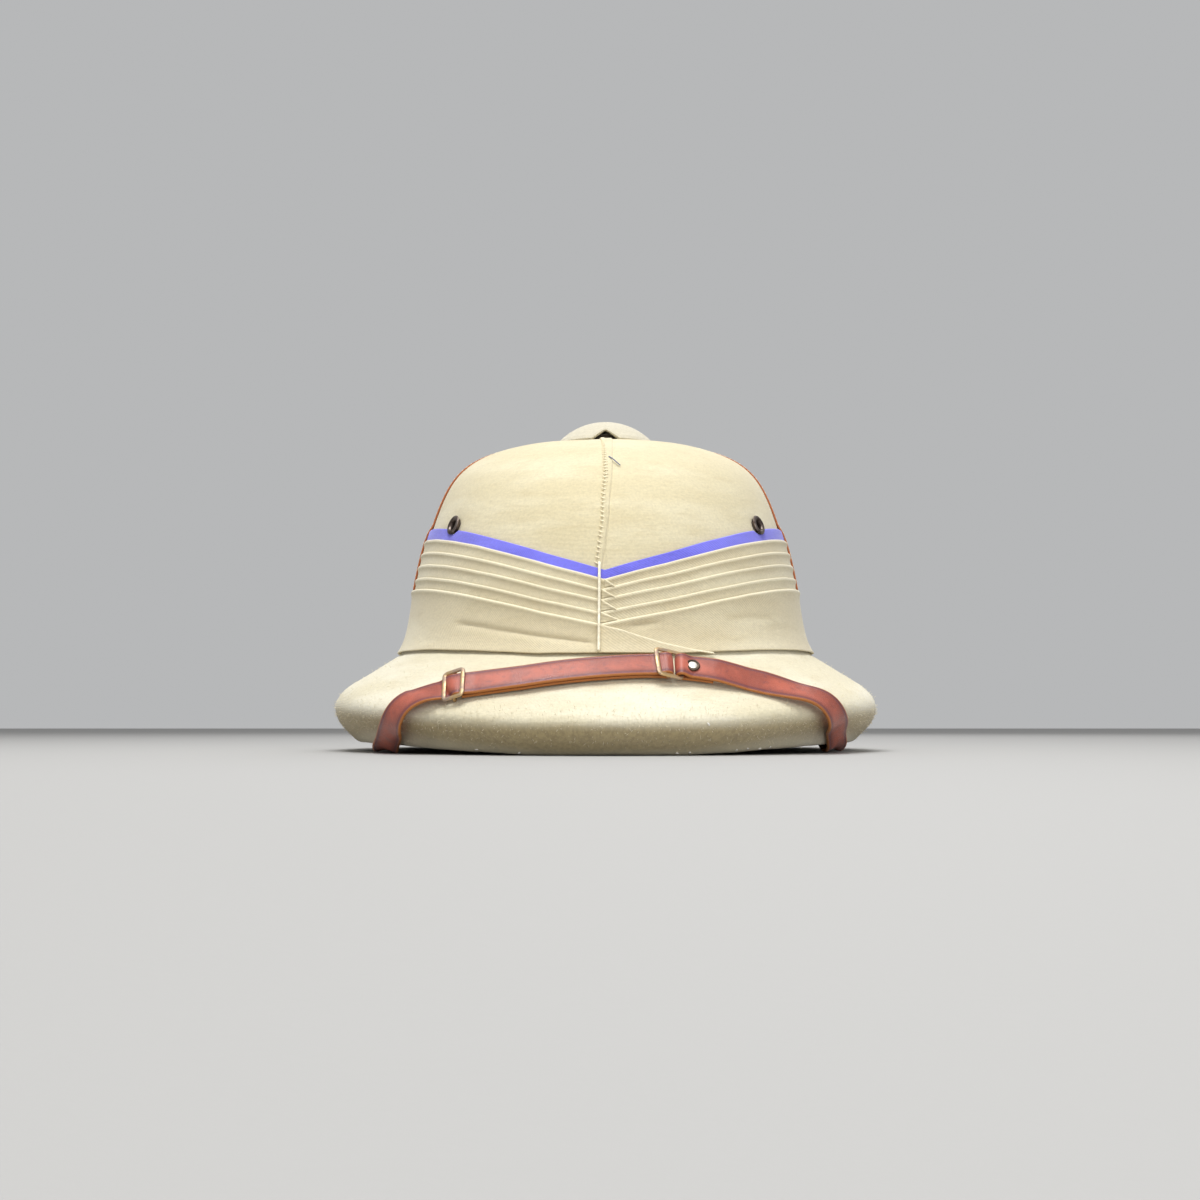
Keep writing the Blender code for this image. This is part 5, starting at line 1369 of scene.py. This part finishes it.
def route_at(distance):
    """Angle and place of the route at a distance."""
    return np.interp(distance, ROUTE[0], ROUTE[1]), np.interp(distance, ROUTE[0], ROUTE[2])


def round_brim(angle, place, step=0.01):
    """Direction round the brim at a place on its section, from two short steps."""
    return on_section(angle + step, place, GAP) - on_section(angle - step, place, GAP)


def flat_frame(distance):
    """Directions along the route, across it up the brim, and out from its surface."""
    angle, place = route_at(distance)
    over_section = on_section(angle, place + 0.01, GAP) - on_section(angle, place - 0.01, GAP)
    up = np.cross(over_section, round_brim(angle, place))
    lifted = on_section(angle, place, GAP + 1.0) - on_section(angle, place, GAP)
    up *= np.sign(dot(up, lifted))
    ahead, behind = route_at(distance + ROUTE_STEP), route_at(distance - ROUTE_STEP)
    along = on_section(*ahead, GAP) - on_section(*behind, GAP)
    across = unit(np.cross(up, along))
    along = unit(along)
    return along, across, np.cross(along, across)


def route_frame(distance):
    """Directions along the strap, across it and out of its face, with its lean."""
    along, across, up = flat_frame(distance)
    angle = np.degrees(route_at(distance)[0])
    lean = np.radians(np.interp(angle, STRAP_LEAN["angle"], STRAP_LEAN["lean"]))[:, None]
    leaning = across * np.cos(lean) + up * np.sin(lean)
    return along, leaning, up * np.cos(lean) - across * np.sin(lean)


def over_route(distance, level):
    """Point at a distance along the strap's route and a level over its seat.

    The seat is the brim's surface, turned about the strap's lower edge by its lean.
    """
    distance = np.atleast_1d(np.asarray(distance, dtype=float))
    level = np.broadcast_to(level, distance.shape)
    seat = on_section(*route_at(distance), level)
    _, across, up = flat_frame(distance)
    _, leaning, out = route_frame(distance)
    return seat + (leaning - across) * (STRAP_WIDTH / 2.0 + GAP + WIRE) + (out - up) * level[:, None]


def strap_section(distance):
    """Half of the strap's section, from its middle to an edge.

    Towards a corner of the brim's section it turns to lie along the brim's edge.
    """
    angle, place = route_at(distance)
    square = route_frame(distance)[1]
    edgewise = unit(round_brim(angle, place)) * np.sign(angle)[:, None]
    share = np.interp(place, EDGE_TURN["place"], EDGE_TURN["share"])[:, None]
    section = (1.0 - share) * square + share * edgewise
    return section * STRAP_WIDTH / 2.0 / dot(section, square)


def rest_level(distance):
    """Level of a strap's middle where it lies on the brim, higher inside the hollow."""
    place = route_at(distance)[1]
    return np.interp(place, UNDERSIDE_PLACES, (GAP, STRAP_UNDER_CLEARANCE)) + STRAP_LEATHER / 2.0


def bend_round(centre, level, radius, first, last, count=25):
    """Points of an arc in the plane of distance and level."""
    turn = np.linspace(first, last, count)
    return np.stack([centre + radius * np.cos(turn), level + radius * np.sin(turn)], axis=1)


ONE = GAP + STRAP_LEATHER / 2.0
TWO = ONE + STRAP_LEATHER + GAP
WIRE_ONE = ONE + STRAP_LEATHER / 2.0 + GAP + WIRE / 2.0
WIRE_TWO = WIRE_ONE + STRAP_LEATHER + GAP
TURN = WIRE / 2.0 + GAP + STRAP_LEATHER / 2.0
SLIDE_AT = float(np.interp(SLIDE_ANGLE, ROUTE[1], ROUTE[0]))
RING_AT = float(np.interp(RING_ANGLE, ROUTE[1], ROUTE[0]))
RING_HALF = WIRE / 2.0 + GAP + STRAP_LEATHER + GAP / 2.0
RING_BARS = (RING_AT - RING_HALF, RING_AT + RING_HALF)


def smoothed(rows, reach=9, times=3):
    """Rows eased into their neighbours: a running mean, taken a few times."""
    for _ in range(times):
        rows = np.apply_along_axis(running_mean, 0, rows, reach)
    return rows


def strap_surface(name, line, node):
    """A strap whose middle follows (distance, level) points over the brim.

    The line is cut into even steps and eased, and the leather's section is carried along
    it in the plane of distance and level. Over the brim's edge the middle and directions
    are eased instead, and the strap stands off the brim by up to EDGE_LIFT.
    """
    line = np.vstack(line)
    length = running_length(line)
    kept = np.concatenate([[True], np.diff(length) > 1e-6])
    fine = read_rows(np.arange(0.0, length[-1], STRAP_STEP), length[kept], line[kept])
    fine = np.apply_along_axis(eased, 0, fine, 2)
    step = unit(np.gradient(fine, axis=0))
    normal = np.stack([-step[:, 1], step[:, 0]], axis=1)
    section, marks = leather_profile(STRAP_WIDTH, STRAP_LEATHER)
    shape = (len(fine), len(section), 3)
    seats = fine[:, None] + normal[:, None] * section[None, :, 1:]
    distance, level = seats.reshape(-1, 2).T
    across = np.tile(section[:, 0] / (STRAP_WIDTH / 2.0), len(fine))[:, None]
    points = (over_route(distance, level) + strap_section(distance) * across).reshape(shape)
    distance, level = fine.T
    angle, place = route_at(distance)
    middle = smoothed(over_route(distance, level))
    along = unit(np.gradient(middle, axis=0))
    half = smoothed(unit(strap_section(distance)))
    half = unit(half - along * dot(half, along))
    out = np.cross(along, half)
    out *= np.sign(dot(out, route_frame(distance)[2]))
    lift = EDGE_LIFT * smooth_step(place, *EDGE_LIFT_FROM) * (1.0 - smooth_step(place, *EDGE_LIFT_TO))
    loose = middle + out * smoothed(lift[:, None])
    loose = loose[:, None] + half[:, None] * section[None, :, :1] + out[:, None] * section[None, :, 1:]
    bend = smooth_step(np.abs(np.degrees(angle)), *BEND_DEGREES) * (1.0 - smooth_step(place, *BEND_PLACES))
    points = points + (loose - points) * bend[:, None, None]
    points[..., 2] = np.maximum(points[..., 2], GAP)
    strap = surface(name, points, *strip_map(points, points.mean(axis=1)), capped=True)
    mark_leather(strap, marks, len(fine))
    piece(strap, STRAP, "strap_leather", node)


def make_straps():
    """Both straps of the chin strap, each doubled back round the ring."""
    bar, other = RING_BARS
    first = np.arange(0.0, SLIDE_AT - SLIDE_SPACING / 2.0 + WIRE / 2.0, 0.5)
    approach = bar - 3.0 * WIRE
    middle = np.arange(SLIDE_AT + 2.0 * SLIDE_SPACING, approach - 3.5, 2.0)
    strap_surface("strap_leather_long", [
        np.stack([first, rest_level(first)], axis=1),
        [(SLIDE_AT - WIRE / 2.0, TWO + 0.8), (SLIDE_AT + WIRE / 2.0, TWO + 0.8)],
        [(SLIDE_AT + SLIDE_SPACING, TWO)],
        np.stack([middle, np.full(len(middle), TWO)], axis=1),
        [(approach, TWO + GAP / 2.0)],
        bend_round(bar, WIRE_ONE, TURN, pi / 2.0 + FOLD_APPROACH, -pi / 2.0),
        np.stack([middle[::-1], np.full(len(middle), ONE)], axis=1),
        [(SLIDE_AT + SLIDE_SPACING, ONE), (SLIDE_AT + WIRE / 2.0 + 2.0 * GAP, ONE)],
    ], "chin_strap_long")
    fold_end = other + SHORT_UNDERLAY
    last = np.arange(fold_end + 8.0 * STRAP_LEATHER, ROUTE[0][-1], 0.5)
    strap_surface("strap_leather_short", [
        [(fold_end, ONE), (other + 7.0, ONE)],
        bend_round(other, WIRE_ONE, TURN, -pi / 2.0, -3.0 * pi / 2.0 - FOLD_APPROACH),
        [(other + TURN + STRAP_LEATHER, TWO), (other + 7.0, TWO), (fold_end + STRAP_LEATHER / 2.0, TWO)],
        np.stack([last, rest_level(last)], axis=1),
    ], "chin_strap_short")


def over_frame(distance, offset, across, level):
    """Points beside the strap's route, at offsets along it and distances across."""
    at = distance + offset
    return over_route(at, level) + route_frame(at)[1] * across[:, None]


def flat_wire(name, path, out, wide, tall, closed):
    """Flat metal along a path: an oval section wide in the frame's plane, tall out of it."""
    along = np.roll(path, -1, axis=0) - np.roll(path, 1, axis=0) if closed else np.gradient(path, axis=0)
    along = unit(along)
    side = unit(np.cross(along, out))
    turn = np.arange(16) * pi / 8.0
    x = filled(np.cos(turn), 0.7)[None, :, None] * wide / 2.0
    y = filled(np.sin(turn), 0.7)[None, :, None] * tall / 2.0
    points = path[:, None] + side[:, None] * x + np.cross(side, along)[:, None] * y
    v = np.arange(len(path) + 1.0)[:, None]
    return surface(name, points, np.append(turn, 2.0 * pi), v, closed_rows=closed, capped=not closed)


def buckle(name, middle, half_length, levels, centre_at, centre_level, node):
    """A three-bar frame about the strap: a rounded rectangle tilting along the strap.

    Its centre bar is let down between the rails to a level of its own.
    """
    half_width = STRAP_WIDTH / 2.0 + GAP + WIRE / 2.0
    offsets, acrosses = [], []
    for k, (sign_x, sign_y) in enumerate(((1, 1), (-1, 1), (-1, -1), (1, -1))):
        bend = np.linspace(0.0, pi / 2.0, 7) + k * pi / 2.0
        beside = (0.0, sign_y * half_width) if k % 2 == 0 else (sign_x * half_length, 0.0)
        offsets += [sign_x * (half_length - FRAME_CORNER) + FRAME_CORNER * np.cos(bend), beside[:1]]
        acrosses += [sign_y * (half_width - FRAME_CORNER) + FRAME_CORNER * np.sin(bend), beside[1:]]
    offset, across = np.concatenate(offsets), np.concatenate(acrosses)
    ends = (-half_length, half_length)
    path = over_frame(middle, offset, across, np.interp(offset, ends, levels))
    out = route_frame(np.array([middle]))[2]
    ring = flat_wire(name, path, out, FRAME_WIDE * WIRE, FRAME_TALL, True)
    shift, inside = centre_at - middle, half_width - 0.1
    level_run = np.linspace(-inside + 0.5, inside - 0.5, 9)
    sides = np.concatenate([np.full(4, -inside), level_run, np.full(4, inside)])
    dip = np.linspace(np.interp(shift, ends, levels), centre_level + BAR_DIP, 4)
    drop = np.concatenate([dip, np.full(len(level_run), centre_level), dip[::-1]])
    bar_path = over_frame(middle, np.full(len(sides), shift), sides, drop)
    bar_out = -route_frame(np.array([centre_at]))[0]
    combine(ring, flat_wire(name + "_bar", bar_path, bar_out, BAR_WIDE, BAR_TALL, False), "UNION")
    piece(ring, BRASS, "brass", node)


def make_fittings():
    """The slide, the ring and the rivet of the chin strap."""
    buckle("slide_frame", SLIDE_AT, SLIDE_SPACING / 2.0, (WIRE_ONE, WIRE_TWO), SLIDE_AT, GAP + WIRE / 2.0,
           "strap_slide")
    first, other = RING_BARS[0] - RING_REACH, RING_BARS[1]
    buckle("ring_frame", (first + other) / 2.0, (other - first) / 2.0, (WIRE_TWO + RING_RISE, WIRE_ONE),
           RING_BARS[0], WIRE_ONE, "strap_ring")
    at = np.array([RING_AT + RIVET_FROM_RING])
    out = route_frame(at)[2][0]
    level = TWO + STRAP_LEATHER / 2.0 + GAP
    profile = [(share * RIVET_HEAD_RADIUS, rise) for share, rise in RIVET_HEAD]
    profile += [(RIVET_SHANK_RADIUS, 0.0), (RIVET_SHANK_RADIUS, GAP - level), (0.0, GAP - level)]
    seat = over_route(at, level)[0]
    rivet = lathe("rivet_head", profile, seat, out)
    # The head's centre is painted near white: a painted highlight
    away = np.linalg.norm(coordinates(rivet) - seat - RIVET_CENTRE_RISE * out, axis=1)
    mark(rivet, "painted_highlight", away < RIVET_HEAD_RADIUS * RIVET_CENTRE)
    piece(rivet, RIVET, "brass", "strap_rivet")


def dress_posts():
    """The hidden posts keep their solids and get the dark metal."""
    for name in ("strap_post_left", "strap_post_right"):
        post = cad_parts[name]
        post.data.materials.clear()
        post.data.materials.append(DARK)


def make_stray_thread():
    """A loose end of thread that hangs beside the front seam."""
    share = np.linspace(0.0, 1.0, THREAD_POINTS)
    angle = np.radians(np.interp(share, *THREAD_ANGLES))
    level = THREAD_LEVEL + THREAD_SWELL * np.sin(share * pi)
    path = up_crown(angle, np.interp(share, *THREAD_HEIGHTS) - crown_foot(angle), level)
    path = np.apply_along_axis(eased, 0, path, 3)
    thread = flat_wire("stray_thread", path, np.array((0.0, -1.0, 0.0)), THREAD_WIDTH, THREAD_WIDTH, False)
    piece(thread, STRAY_THREAD, "canvas")


# Floor, light and camera

def aim(thing, place, target):
    """Put a light or camera at a place, looking at a target."""
    thing.location = Vector(place) * MM
    thing.rotation_euler = ((Vector(target) - Vector(place)) * MM).to_track_quat("-Z", "Y").to_euler()


def add_light(name, place, size, power):
    """A large soft light aimed at the helmet."""
    light = bpy.data.lights.new(name, "AREA")
    light.shape, light.size, light.energy = "SQUARE", size * MM, power
    lamp = bpy.data.objects.new(name, light)
    bpy.context.scene.collection.objects.link(lamp)
    aim(lamp, place, LIGHTS_TARGET)


def make_stage():
    """Pale floor, soft light and the camera at the photograph's angle."""
    corners = FLOOR_REACH * np.array([[(-1, -1, 0), (1, -1, 0)], [(-1, 1, 0), (1, 1, 0)]])
    floor = surface("floor", corners, 0.0, 0.0, closed_columns=False)
    pale = Finish("floor", Specular_IOR_Level=0.2)
    floor.data.materials.append(pale.finish(*linear(FLOOR_COLOUR), 0.8, pale.noise(600.0), 0.02))
    world = bpy.data.worlds.new("studio")
    bpy.context.scene.world = world
    world.use_nodes = True
    sky = world.node_tree.nodes["Background"]
    sky.inputs["Color"].default_value = SKY_COLOUR
    sky.inputs["Strength"].default_value = SKY_STRENGTH
    for name, light in LIGHTS.items():
        add_light(name, *light)
    camera = bpy.data.objects.new("camera", bpy.data.cameras.new("camera"))
    camera.data.lens = CAMERA_LENS
    camera.data.clip_start = 0.01
    bpy.context.scene.collection.objects.link(camera)
    aim(camera, CAMERA_PLACE, CAMERA_TARGET)
    bpy.context.scene.camera = camera
    bpy.context.scene.view_settings.view_transform = "Standard"


make_stage()
make_crown()
make_seam_stitches()
make_fuzz(make_brim())
make_vent()
make_eyelets()
make_wound_cloth()
make_band_lap()
make_fold_ends()
make_tape()
make_side_strips()
make_straps()
make_fittings()
dress_posts()
make_stray_thread()

bpy.context.view_layer.update()
